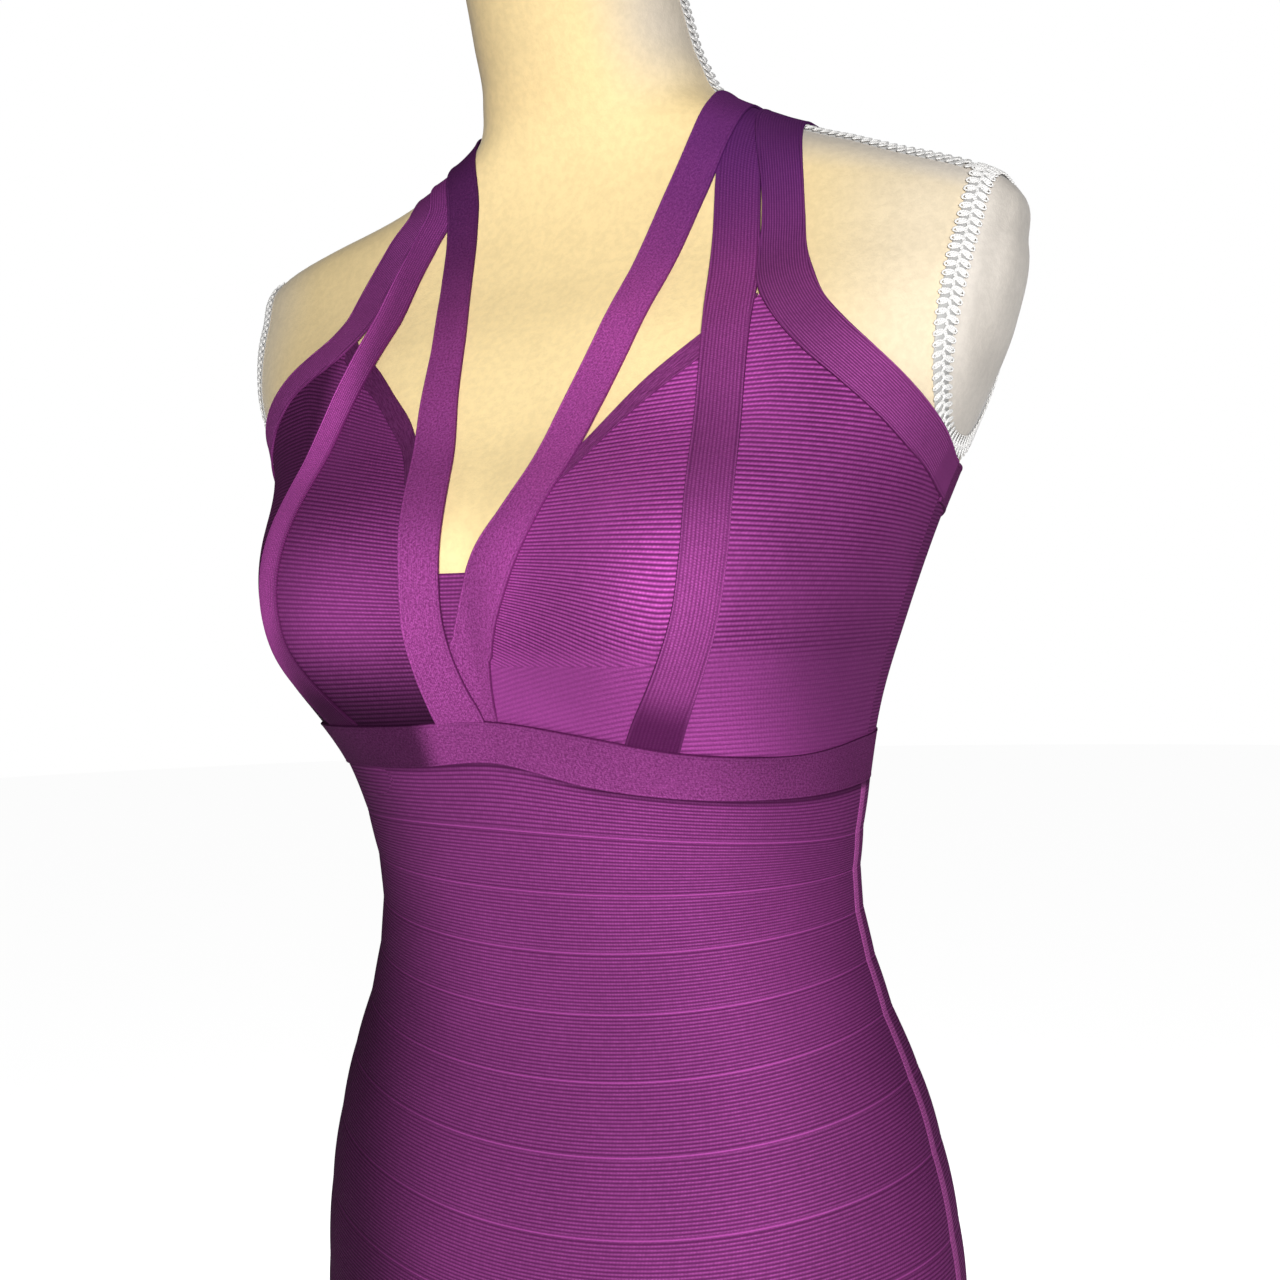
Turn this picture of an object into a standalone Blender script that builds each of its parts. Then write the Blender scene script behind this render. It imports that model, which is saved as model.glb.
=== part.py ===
"""Strappy bandage-knit bodycon dress, worn by a limbless dress form on a pole and a round base.

Metres, +Z up.  The dress faces -Y and +X is the form's left.  The origin is on the floor, under the
middle of the base.  The figure is a stack of rounded-square sections measured from the waist; every
piece of cloth and braid is made from points of that figure, moved out along its normal.
"""

import math

import bmesh
import bpy
from mathutils import Vector

# ---------------------------------------------------------------- driving sizes
WAIST_HEIGHT = 1.030          # waist over the floor
FORM_BOTTOM = -0.270          # lower end of the torso, from the waist
NECK_TOP = 0.480              # upper end of the neck, from the waist
HEM_HEIGHT = -0.490           # skirt hem, from the waist

WALL = 0.0013                 # thickness of the knit
SKIN_GAP = 0.0015             # panels stand this far off the form
LAYER_STEP = 0.0008           # air between a panel and what lies on it
SEAM_GAP = 0.0003             # air between two panels at a seam
HIDDEN_SEAM = 0.0012          # half the air between two panels whose seam a strap or band covers
OVER_PANEL = SKIN_GAP + WALL + LAYER_STEP      # inner face of a strap that lies on a panel
OVER_STRAP = OVER_PANEL + WALL + LAYER_STEP    # inner face of a strap that lies on a strap
OVER_BRAID = 0.0020           # inner face of a strap that lies on the form's braid
OVER_SHOULDER_STRAP = OVER_BRAID + WALL + 0.0010
BESIDE_FOLD = 0.0039          # inner face of a strap's free edge where its other edge is over a strap
SEAM_SINK = 0.0003            # a bandage seam lies this far below a plain panel's face
STRIP_BULGE = 0.0006          # and the middle of a strip this far above it

BRAID_WIDTH = 0.0115
BRAID_THICKNESS = 0.0010
BRAID_GAP = 0.0005

POLE_RADIUS = 0.016
COLLAR_RADIUS = 0.045
COLLAR_HEIGHT = 0.008
BASE_RADIUS = 0.180
BASE_HEIGHT = 0.022
BASE_EDGE = 0.010
SOCKET_RADIUS = 0.034
SOCKET_HEIGHT = 0.030
TOUCH_GAP = 0.0003            # air between two hard pieces that touch

PANEL_CELLS = 16              # facets across half of the figure, on the skirt and the back
STATION_STEP = 0.0098         # spacing of the sections along a strap
TORSO_ANGLES = (0, 6, 12, 18, 24, 30, 36, 42, 49, 57, 66, 75, 83, 90, 98, 107, 120, 135, 150, 165, 180)
CUP_ROWS = 13
CUP_CROWDING = 1.25           # more than one draws a cup's rows together at its foot
END_ROUNDING = 0.008
TORSO_COLUMNS = ("low", "high", "rows")
TORSO_STRETCHES = (
    (-0.270, -0.110, 4),
    (-0.110, 0.050, 6),
    (0.050, 0.130, 6),
    (0.130, 0.210, 8),
    (0.210, 0.325, 7),
    (0.325, 0.365, 8),
    (0.365, 0.405, 6),
    (0.405, 0.445, 4),
    (0.445, 0.480, 2),
)

# Sections of the figure, from the waist: half width, depth in front of and behind the section's
# centre, squareness of the outline, and how far back that centre lies.
SECTION_COLUMNS = ("height", "half_width", "front", "back", "square", "centre")
SECTIONS = (
    (-0.500, 0.156, 0.093, 0.112, 2.15, 0.000),
    (-0.370, 0.164, 0.094, 0.117, 2.15, 0.000),
    (-0.280, 0.170, 0.093, 0.121, 2.15, 0.000),
    (-0.210, 0.173, 0.091, 0.122, 2.15, 0.000),
    (-0.155, 0.169, 0.088, 0.116, 2.15, 0.000),
    (-0.095, 0.155, 0.080, 0.100, 2.20, 0.000),
    (-0.050, 0.138, 0.079, 0.084, 2.20, 0.000),
    (0.000, 0.1265, 0.089, 0.077, 2.20, 0.000),
    (0.050, 0.131, 0.104, 0.081, 2.20, 0.000),
    (0.095, 0.139, 0.116, 0.087, 2.25, 0.000),
    (0.135, 0.152, 0.128, 0.092, 2.30, 0.000),
    (0.175, 0.167, 0.128, 0.095, 2.35, 0.000),
    (0.220, 0.1860, 0.101, 0.097, 2.50, 0.001),
    (0.270, 0.208, 0.076, 0.095, 2.70, 0.002),
    (0.305, 0.214, 0.057, 0.084, 2.80, 0.006),
    (0.335, 0.203, 0.051, 0.067, 2.80, 0.013),
    (0.360, 0.129, 0.053, 0.055, 2.50, 0.017),
    (0.385, 0.073, 0.058, 0.050, 2.20, 0.015),
    (0.405, 0.060, 0.058, 0.053, 2.00, 0.002),
    (0.430, 0.056, 0.058, 0.053, 2.00, -0.011),
    (0.480, 0.056, 0.058, 0.052, 2.00, -0.028),
)

# The bust swells the front of the sections about these points, one on each side.
BUST = {"across": 0.115, "height": 0.128, "swell": 0.043, "spread": 0.069, "below": 0.048, "above": 0.067}

# Underbust band, by the angle round the figure from the middle of the front to the form's left.
BAND_COLUMNS = ("angle", "lower", "upper")
BAND = (
    (-180, 0.0620, 0.0840),
    (-135, 0.0625, 0.0850),
    (-90, 0.0650, 0.0880),
    (-60, 0.0680, 0.0895),
    (-40, 0.0700, 0.0905),
    (-20, 0.0700, 0.0905),
    (0, 0.0725, 0.0918),
    (20, 0.0620, 0.0860),
    (40, 0.0560, 0.0775),
    (60, 0.0535, 0.0735),
    (90, 0.0550, 0.0780),
    (135, 0.0590, 0.0815),
    (180, 0.0620, 0.0840),
)

# Bandage seams of the skirt: the strips grow from the waist to the hips, and each seam rises
# towards the side seams by an amount that depends on its height.
FIRST_SEAM = 0.041
STRIP_AT_WAIST = 0.029
STRIP_AT_HIPS = 0.038
HIP_DROP = 0.150
SEAM_LEAN = 0.005             # the seams over the waist sit this much lower on the form's left
RISE_COLUMNS = ("height", "rise")
SEAM_RISE = (
    (-0.490, 0.000),
    (-0.300, 0.014),
    (-0.220, 0.026),
    (-0.148, 0.030),
    (-0.047, 0.018),
    (0.009, 0.006),
    (0.041, -0.005),
    (0.075, 0.000),
)

# Inner edges of the cups, under the crossing straps, and the neckline edge up to the cup's peak.
EDGE_COLUMNS = ("height", "angle")
CUP_INNER_EDGE = {
    "left": ((0.080, 2.0), (0.107, 1.5), (0.132, 4.5), (0.154, 8.0), (0.172, 10.0), (0.199, 12.0)),
    "right": ((0.080, 9.5), (0.107, 9.0), (0.132, 8.5), (0.154, 8.5), (0.172, 9.5), (0.199, 12.0)),
}
CUP_NECK_START = 0.199        # height at which the neckline edge leaves the strap
CUP_PEAK_ANGLE = 30.5
BINDING_WIDTH = 0.016         # measured down the figure
TOP_COLUMNS = ("angle", "height")
CUP_NECKLINE_EDGE = {
    "left": ((12, 0.199), (14.5, 0.213), (19, 0.2375), (24.5, 0.259), (30.5, 0.279)),
    "right": ((12, 0.199), (13.6, 0.2155), (15.5, 0.2277), (19.8, 0.2466), (23.8, 0.2635), (30.5, 0.279)),
}
CUP_ARMHOLE_EDGE = (
    (30.5, 0.279), (34, 0.270), (39.5, 0.259), (44, 0.250), (55, 0.2325), (70, 0.2135), (80, 0.204), (90, 0.1965)
)
BACK_BAND_COLUMNS = ("angle", "lower", "upper")
BACK_BAND = ((90, 0.187, 0.206), (110, 0.183, 0.204), (145, 0.177, 0.199), (180, 0.175, 0.197))
GUSSET_TOP = 0.157

# Straps, from behind the shoulder down: middle line, width, and how far the inner face of the edge
# towards the neck (near) and of the edge towards the arm (far) stands off the form.
STRAP_COLUMNS = ("x", "y", "height", "width", "near", "far")
NECKLINE_STRAP_LEFT = (
    (0.0800, 0.0210, 0.3830, 0.0205, OVER_SHOULDER_STRAP, OVER_SHOULDER_STRAP),
    (0.0800, 0.0020, 0.3850, 0.0205, OVER_SHOULDER_STRAP, OVER_SHOULDER_STRAP),
    (0.0790, -0.0200, 0.3730, 0.0205, BESIDE_FOLD, OVER_SHOULDER_STRAP),
    (0.0735, -0.0330, 0.3500, 0.0205, BESIDE_FOLD, OVER_SHOULDER_STRAP),
    (0.0625, -0.0420, 0.3210, 0.0220, SKIN_GAP, OVER_BRAID),
    (0.0535, -0.0608, 0.2889, 0.0220, SKIN_GAP, OVER_BRAID),
    (0.0462, -0.0802, 0.2580, 0.0212, SKIN_GAP, OVER_BRAID),
    (0.0374, -0.0976, 0.2255, 0.0220, SKIN_GAP, OVER_PANEL),
    (0.0306, -0.1196, 0.1954, 0.0226, SKIN_GAP, OVER_PANEL),
    (0.0245, -0.1300, 0.1780, 0.0237, OVER_BRAID, OVER_PANEL),
    (0.0148, -0.1340, 0.1600, 0.0245, OVER_PANEL, OVER_PANEL),
    (0.0034, -0.1345, 0.1340, 0.0218, OVER_PANEL, OVER_PANEL),
    (-0.0032, -0.1280, 0.1100, 0.0215, OVER_PANEL, OVER_PANEL),
    (-0.0056, -0.1200, 0.0925, 0.0215, OVER_PANEL, OVER_PANEL),
)
NECKLINE_STRAP_RIGHT = (
    (-0.0700, 0.0210, 0.3870, 0.0205, OVER_SHOULDER_STRAP, OVER_SHOULDER_STRAP),
    (-0.0690, 0.0020, 0.3900, 0.0205, OVER_SHOULDER_STRAP, OVER_SHOULDER_STRAP),
    (-0.0640, -0.0200, 0.3790, 0.0200, BESIDE_FOLD, OVER_SHOULDER_STRAP),
    (-0.0585, -0.0335, 0.3540, 0.0190, BESIDE_FOLD, OVER_SHOULDER_STRAP),
    (-0.0570, -0.0373, 0.3326, 0.0178, SKIN_GAP, OVER_SHOULDER_STRAP),
    (-0.0528, -0.0540, 0.2997, 0.0178, SKIN_GAP, OVER_BRAID),
    (-0.0453, -0.0737, 0.2693, 0.0188, SKIN_GAP, OVER_BRAID),
    (-0.0400, -0.0912, 0.2371, 0.0205, SKIN_GAP, OVER_PANEL),
    (-0.0315, -0.1114, 0.2057, 0.0215, SKIN_GAP, OVER_PANEL),
    (-0.0240, -0.1300, 0.1780, 0.0208, OVER_PANEL, OVER_STRAP),
    (-0.0222, -0.1351, 0.1560, 0.0198, OVER_STRAP, OVER_STRAP),
    (-0.0222, -0.1341, 0.1370, 0.0203, OVER_STRAP, OVER_STRAP),
    (-0.0203, -0.1290, 0.1185, 0.0212, OVER_STRAP, OVER_STRAP),
    (-0.0174, -0.1219, 0.1029, 0.0230, OVER_STRAP, OVER_STRAP),
    (-0.0155, -0.1190, 0.0960, 0.0242, OVER_STRAP, OVER_STRAP),
)
MIDDLE_STRAP_LEFT = (
    (0.0940, 0.0210, 0.3780, 0.0180, OVER_BRAID, OVER_BRAID),
    (0.0940, 0.0020, 0.3800, 0.0180, OVER_BRAID, OVER_BRAID),
    (0.0932, -0.0220, 0.3620, 0.0195, OVER_BRAID, OVER_BRAID),
    (0.0928, -0.0349, 0.3363, 0.0222, OVER_BRAID, OVER_BRAID),
    (0.0954, -0.0460, 0.3110, 0.0230, OVER_BRAID, OVER_BRAID),
    (0.0980, -0.0596, 0.2869, 0.0224, OVER_BRAID, OVER_BRAID),
    (0.1006, -0.0740, 0.2620, 0.0212, OVER_PANEL, OVER_PANEL),
    (0.1031, -0.0858, 0.2367, 0.0209, OVER_PANEL, OVER_PANEL),
    (0.1077, -0.1060, 0.2043, 0.0204, OVER_PANEL, OVER_PANEL),
    (0.1112, -0.1225, 0.1810, 0.0198, OVER_PANEL, OVER_PANEL),
    (0.1115, -0.1324, 0.1546, 0.0197, OVER_PANEL, OVER_PANEL),
    (0.1078, -0.1329, 0.1355, 0.0197, OVER_PANEL, OVER_PANEL),
    (0.1008, -0.1299, 0.1178, 0.0203, OVER_PANEL, OVER_PANEL),
    (0.0912, -0.1219, 0.1026, 0.0212, OVER_PANEL, OVER_PANEL),
    (0.0815, -0.1128, 0.0887, 0.0228, OVER_PANEL, OVER_PANEL),
)
MIDDLE_STRAP_RIGHT = (
    (-0.0860, 0.0210, 0.3800, 0.0180, OVER_BRAID, OVER_BRAID),
    (-0.0850, 0.0020, 0.3820, 0.0180, OVER_BRAID, OVER_BRAID),
    (-0.0775, -0.0200, 0.3720, 0.0185, OVER_BRAID, OVER_BRAID),
    (-0.0710, -0.0325, 0.3520, 0.0190, OVER_BRAID, OVER_BRAID),
    (-0.0782, -0.0359, 0.3353, 0.0205, OVER_BRAID, OVER_BRAID),
    (-0.0840, -0.0422, 0.3192, 0.0215, OVER_BRAID, OVER_BRAID),
    (-0.0880, -0.0505, 0.3033, 0.0208, OVER_BRAID, OVER_BRAID),
    (-0.0915, -0.0598, 0.2878, 0.0204, OVER_BRAID, OVER_BRAID),
) + tuple((-row[0],) + row[1:] for row in MIDDLE_STRAP_LEFT[6:])
ARMHOLE_BAND_LEFT = (
    (0.1055, 0.0220, 0.3710, 0.0235, OVER_SHOULDER_STRAP, OVER_SHOULDER_STRAP),
    (0.1060, 0.0030, 0.3740, 0.0235, OVER_SHOULDER_STRAP, OVER_SHOULDER_STRAP),
    (0.1067, -0.0148, 0.3656, 0.0235, OVER_SHOULDER_STRAP, OVER_SHOULDER_STRAP),
    (0.1105, -0.0278, 0.3511, 0.0215, OVER_SHOULDER_STRAP, OVER_SHOULDER_STRAP),
    (0.1142, -0.0342, 0.3341, 0.0200, OVER_SHOULDER_STRAP, BESIDE_FOLD),
    (0.1175, -0.0430, 0.3145, 0.0200, OVER_SHOULDER_STRAP, OVER_BRAID),
    (0.1205, -0.0510, 0.2975, 0.0210, OVER_BRAID, OVER_BRAID),
    (0.1248, -0.0585, 0.2835, 0.0236, OVER_PANEL, OVER_PANEL),
    (0.1330, -0.0655, 0.2680, 0.0240, OVER_PANEL, OVER_PANEL),
    (0.1432, -0.0673, 0.2557, 0.0232, OVER_PANEL, OVER_PANEL),
    (0.1558, -0.0649, 0.2427, 0.0222, OVER_PANEL, OVER_PANEL),
    (0.1670, -0.0571, 0.2298, 0.0220, OVER_PANEL, OVER_PANEL),
    (0.1735, -0.0446, 0.2185, 0.0222, OVER_PANEL, OVER_PANEL),
    (0.1765, -0.0277, 0.2095, 0.0206, OVER_PANEL, OVER_PANEL),
    (0.1770, -0.0005, 0.1985, 0.0190, OVER_PANEL, OVER_PANEL),
)
ARMHOLE_BAND_RIGHT = (
    (-0.0970, 0.0220, 0.3750, 0.0205, OVER_SHOULDER_STRAP, OVER_SHOULDER_STRAP),
    (-0.0965, 0.0030, 0.3765, 0.0205, OVER_SHOULDER_STRAP, OVER_SHOULDER_STRAP),
    (-0.0890, -0.0180, 0.3690, 0.0200, OVER_SHOULDER_STRAP, OVER_SHOULDER_STRAP),
    (-0.0880, -0.0308, 0.3520, 0.0190, OVER_SHOULDER_STRAP, OVER_SHOULDER_STRAP),
    (-0.0965, -0.0345, 0.3367, 0.0170, OVER_SHOULDER_STRAP, OVER_SHOULDER_STRAP),
    (-0.1030, -0.0404, 0.3208, 0.0172, OVER_SHOULDER_STRAP, BESIDE_FOLD),
    (-0.1078, -0.0483, 0.3047, 0.0184, OVER_BRAID, OVER_BRAID),
    (-0.1120, -0.0565, 0.2892, 0.0205, OVER_PANEL, OVER_PANEL),
    (-0.1225, -0.0632, 0.2755, 0.0225, OVER_PANEL, OVER_PANEL),
    (-0.1380, -0.0660, 0.2625, 0.0222, OVER_PANEL, OVER_PANEL),
    (-0.1550, -0.0645, 0.2470, 0.0220, OVER_PANEL, OVER_PANEL),
    (-0.1675, -0.0565, 0.2315, 0.0220, OVER_PANEL, OVER_PANEL),
) + tuple((-row[0],) + row[1:] for row in ARMHOLE_BAND_LEFT[12:])
BACK_STRAP = (
    (0.093, 0.0235, 0.376, 0.0440, OVER_BRAID, OVER_BRAID),
    (0.095, 0.050, 0.355, 0.0430, OVER_BRAID, OVER_BRAID),
    (0.095, 0.075, 0.310, 0.0400, SKIN_GAP, SKIN_GAP),
    (0.091, 0.092, 0.260, 0.0370, SKIN_GAP, SKIN_GAP),
    (0.086, 0.094, 0.2030, 0.0350, OVER_BRAID, OVER_BRAID),
)

# The braid ring of each armplate lies in a slanted plane: this far out at this height, and leaning.
RING_OUT = {"left": 0.1812, "right": 0.185}
RING_AT = 0.205
RING_LEAN = 0.160
RING_MIDDLE = 0.270
RING_REACH = 0.080
RING_SAMPLES = 46
# Braid down the side of the neck and out along the shoulder.
SEAM_BRAID = {
    "left": (
        (0.0560, -0.026, 0.474),
        (0.0555, -0.012, 0.440),
        (0.0620, 0.002, 0.403),
        (0.0760, 0.002, 0.384),
        (0.1000, -0.005, 0.371),
        (0.1300, -0.009, 0.356),
        (0.1640, -0.013, 0.344),
        (0.1900, -0.010, 0.337),
    ),
    "right": (
        (-0.0560, -0.026, 0.474),
        (-0.0555, -0.012, 0.440),
        (-0.0620, 0.004, 0.403),
        (-0.0760, 0.012, 0.383),
        (-0.1000, 0.014, 0.371),
        (-0.1300, 0.012, 0.360),
        (-0.1640, 0.010, 0.349),
        (-0.1950, 0.008, 0.339),
    ),
}

# How far the shoulders ride up or sag, by the distance to the form's left.
SHOULDER_RIDE = (
    (-0.240, 0.0),
    (-0.150, -0.0010),
    (-0.100, -0.0030),
    (-0.070, -0.0030),
    (-0.030, 0.0),
    (0.030, 0.0020),
    (0.066, 0.0068),
    (0.087, 0.0066),
    (0.107, 0.0050),
    (0.140, 0.0044),
    (0.162, 0.0024),
    (0.185, 0.0010),
    (0.205, 0.0),
    (0.240, 0.0),
)


# ---------------------------------------------------------------- curves and the figure
def smooth(knots, values, at):
    """Cubic through the knots, with the slopes of the neighbouring spans weighed by their length."""
    last = len(knots) - 1
    span = 0
    while span < last - 1 and at > knots[span + 1]:
        span += 1
    slopes = [(values[i + 1] - values[i]) / (knots[i + 1] - knots[i]) for i in range(last)]

    def tangent(i):
        if i == 0 or i == last:
            return slopes[min(i, last - 1)]
        before = knots[i] - knots[i - 1]
        after = knots[i + 1] - knots[i]
        return (slopes[i - 1] * after + slopes[i] * before) / (before + after)

    width = knots[span + 1] - knots[span]
    t = min(max((at - knots[span]) / width, 0.0), 1.0)
    start, end = values[span], values[span + 1]
    return (
        (1 + 2 * t) * (1 - t) ** 2 * start
        + t * (1 - t) ** 2 * width * tangent(span)
        + t * t * (3 - 2 * t) * end
        + t * t * (t - 1) * width * tangent(span + 1)
    )


def look_up(table, columns, key, wanted, at):
    """One column of a table, as a smooth curve over its key column."""
    key_index = columns.index(key)
    index = columns.index(wanted)
    return smooth([row[key_index] for row in table], [row[index] for row in table], at)


def section(height):
    """The figure's section at a height over the waist."""
    return {name: smooth(SECTION_HEIGHTS, curve, height) for name, curve in SECTION_CURVES.items()}


SECTION_HEIGHTS = [row[0] for row in SECTIONS]
SECTION_CURVES = {name: [row[i] for row in SECTIONS] for i, name in enumerate(SECTION_COLUMNS) if i > 0}


def bust_swell(across, height, depth_share):
    """How far the bust pushes a front point forward."""
    rise = BUST["below"] if height < BUST["height"] else BUST["above"]
    away = abs((abs(across) - BUST["across"]) / BUST["spread"]) ** 2.2
    away += abs((height - BUST["height"]) / rise) ** 2.2
    return BUST["swell"] * math.exp(-away) * math.sqrt(max(depth_share, 0.0))


def skin(angle, height):
    """Point of the bare figure, in the frame of the waist."""
    s = section(height)
    sine, cosine = math.sin(angle), math.cos(angle)
    n = s["square"]
    reach = (abs(sine) ** n + abs(cosine) ** n) ** (-1 / n)
    x = s["half_width"] * reach * sine
    share = reach * cosine
    depth = s["front"] if share > 0 else s["back"]
    return Vector((x, s["centre"] - depth * share - bust_swell(x, height, share), height))


def skin_normal(angle, height):
    step = 0.004
    round_way = skin(angle + step, height) - skin(angle - step, height)
    up_way = skin(angle, height + step / 4) - skin(angle, height - step / 4)
    return round_way.cross(up_way).normalized()


def figure(angle, height, proud):
    """Point that stands proud of the figure, along its normal."""
    return skin(angle, height) + proud * skin_normal(angle, height)


def bearing(point):
    """Angle of the skin point beside a given point, at its height."""
    s = section(point.z)
    forward = s["centre"] - point.y
    if forward > 0:
        across = min(abs(point.x) / s["half_width"], 1.0)
        share = (1 - across ** s["square"]) ** (1 / s["square"])
        forward = max(forward - bust_swell(point.x, point.z, share), 1e-4)
    return math.atan2(point.x / s["half_width"], forward / (s["front"] if forward > 0 else s["back"]))


def foot_of(point):
    """Nearest point of the skin and the normal there."""
    angle, height = bearing(point), point.z
    for _ in range(7):
        base = skin(angle, height)
        round_way = (skin(angle + 0.002, height) - skin(angle - 0.002, height)) / 0.004
        up_way = (skin(angle, height + 0.0005) - skin(angle, height - 0.0005)) / 0.001
        off = point - base
        a, b, c = round_way.dot(round_way), round_way.dot(up_way), up_way.dot(up_way)
        d, e = off.dot(round_way), off.dot(up_way)
        spread_out = a * c - b * b
        angle += min(max((c * d - b * e) / spread_out, -0.15), 0.15)
        height += min(max((a * e - b * d) / spread_out, -0.01), 0.01)
    return skin(angle, height), skin_normal(angle, height)


# ---------------------------------------------------------------- seams of the dress
def wrap(degrees):
    return (degrees + 180.0) % 360.0 - 180.0


def band_edge(degrees, side):
    return look_up(BAND, BAND_COLUMNS, "angle", side, wrap(degrees))


def band_middle(degrees):
    return (band_edge(degrees, "lower") + band_edge(degrees, "upper")) / 2


def seam_heights():
    """Heights of the bandage seams at the middle of the front, from the first one to the hem."""
    heights = [FIRST_SEAM]
    while True:
        hips = min(max(-heights[-1] / HIP_DROP, 0.0), 1.0)
        below = heights[-1] - STRIP_AT_WAIST - (STRIP_AT_HIPS - STRIP_AT_WAIST) * hips
        if below < HEM_HEIGHT + STRIP_AT_HIPS / 2:
            return heights + [HEM_HEIGHT]
        heights.append(below)


def seam_line(height, degrees):
    """A bandage seam rises to the side seams, and leans a little over the waist."""
    side = math.sin(math.radians(degrees))
    rise = look_up(SEAM_RISE, RISE_COLUMNS, "height", "rise", height)
    lean = SEAM_LEAN * min(max((height + 0.08) / 0.12, 0.0), 1.0)
    return height + rise * side * side - lean * side


def cup_inner_angle(side, height):
    rows = CUP_INNER_EDGE[side]
    return look_up(rows, EDGE_COLUMNS, "height", "angle", min(max(height, rows[0][0]), rows[-1][0]))


def cup_top(side, degrees):
    """Upper edge of a cup, from its inner edge over the peak to the side seam."""
    edge = CUP_NECKLINE_EDGE[side] if degrees < CUP_PEAK_ANGLE else CUP_ARMHOLE_EDGE
    return look_up(edge, TOP_COLUMNS, "angle", "height", degrees)


def mirrored(degrees):
    """Angle on the form's left that matches an angle on its right."""
    return abs(wrap(degrees))


# ---------------------------------------------------------------- meshes
def smoothstep(x):
    x = min(max(x, 0.0), 1.0)
    return x * x * (3 - 2 * x)


def standing(point):
    """Point over the floor, with the left shoulder a little higher than the right one."""
    share = smoothstep((point.z - 0.305) / 0.045) * (1.0 - smoothstep((point.z - 0.405) / 0.05))
    ride = straight([row[0] for row in SHOULDER_RIDE], [row[1] for row in SHOULDER_RIDE], point.x)
    return point + Vector((0.0, 0.0, WAIST_HEIGHT + share * ride))


def add_object(name, points, faces, material):
    mesh = bpy.data.meshes.new(name)
    mesh.from_pydata([standing(p) for p in points], [], faces)
    shape = bmesh.new()
    shape.from_mesh(mesh)
    bmesh.ops.recalc_face_normals(shape, faces=shape.faces)
    if shape.calc_volume(signed=True) < 0:
        bmesh.ops.reverse_faces(shape, faces=shape.faces)
    shape.to_mesh(mesh)
    shape.free()
    mesh.materials.append(material)
    mesh.shade_smooth()
    mesh.set_sharp_from_angle(angle=math.radians(40))
    piece = bpy.data.objects.new(name, mesh)
    bpy.context.scene.collection.objects.link(piece)
    return piece


def zip_sides(points, first, second):
    """Triangles between two lines of point numbers that start and end side by side."""
    faces = []
    i, j = 0, 0
    while i < len(first) - 1 or j < len(second) - 1:
        first_reach = second_reach = math.inf
        if i < len(first) - 1:
            first_reach = (points[first[i + 1]] - points[second[j]]).length
        if j < len(second) - 1:
            second_reach = (points[first[i]] - points[second[j + 1]]).length
        if first_reach <= second_reach:
            faces.append((first[i], first[i + 1], second[j]))
            i += 1
        else:
            faces.append((first[i], second[j + 1], second[j]))
            j += 1
    return faces


def short_diagonals(grid):
    """For each cell of a grid, whether it splits from its first corner."""
    splits = []
    for low, high in zip(grid, grid[1:]):
        line = []
        for c in range(len(low) - 1):
            line.append((high[c + 1] - low[c]).length <= (high[c] - low[c + 1]).length)
        splits.append(line)
    return splits


def shell(name, outer, inner, material):
    """Closed wall between two grids of points with the same number of columns."""
    points = [p for row in outer for p in row] + [p for row in inner for p in row]
    across = len(outer[0])
    shift = len(outer) * across
    faces = []

    def add_grid(splits, start, flip):
        for r, line in enumerate(splits):
            for c, from_first in enumerate(line):
                a = start + r * across + c
                b, d, e = a + 1, a + across, a + across + 1
                pair = ((a, b, e), (a, e, d)) if from_first else ((a, b, d), (b, e, d))
                faces.extend(corners[::-1] if flip else corners for corners in pair)

    outer_splits = short_diagonals(outer)
    add_grid(outer_splits, 0, False)
    add_grid(outer_splits if len(inner) == len(outer) else short_diagonals(inner), shift, True)
    for c in range(across - 1):
        faces.append((c + 1, c, shift + c, shift + c + 1))
        top_outer = (len(outer) - 1) * across + c
        top_inner = shift + (len(inner) - 1) * across + c
        faces.append((top_outer, top_outer + 1, top_inner + 1, top_inner))
    for c in (0, across - 1):
        outer_side = [r * across + c for r in range(len(outer))]
        inner_side = [shift + r * across + c for r in range(len(inner))]
        faces += zip_sides(points, outer_side, inner_side)
    return add_object(name, points, faces, material)


def spread(start, end, cells):
    return [start + (end - start) * i / cells for i in range(cells + 1)]


def seam_turn(height):
    """Half a seam gap at the side of the figure, as an angle in degrees."""
    return math.degrees(SEAM_GAP / 2 / look_up(SECTIONS, SECTION_COLUMNS, "height", "half_width", height))


def straight(knots, values, at):
    """Straight lines through the knots."""
    span = 0
    while span < len(knots) - 2 and at > knots[span + 1]:
        span += 1
    share = (at - knots[span]) / (knots[span + 1] - knots[span])
    return values[span] + (values[span + 1] - values[span]) * share


def path_points(rows, step):
    """Points spaced along a smooth line through the rows, with the rows' other values beside them."""
    reach = [0.0]
    for i in range(1, len(rows)):
        reach.append(reach[-1] + math.dist(rows[i][:3], rows[i - 1][:3]))
    count = max(4, round(reach[-1] / step))
    samples = []
    for distance in spread(0.0, reach[-1], count):
        place = [smooth(reach, [row[k] for row in rows], distance) for k in range(4)]
        samples.append(place + [straight(reach, [row[k] for row in rows], distance) for k in (4, 5)])
    return samples


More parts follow.
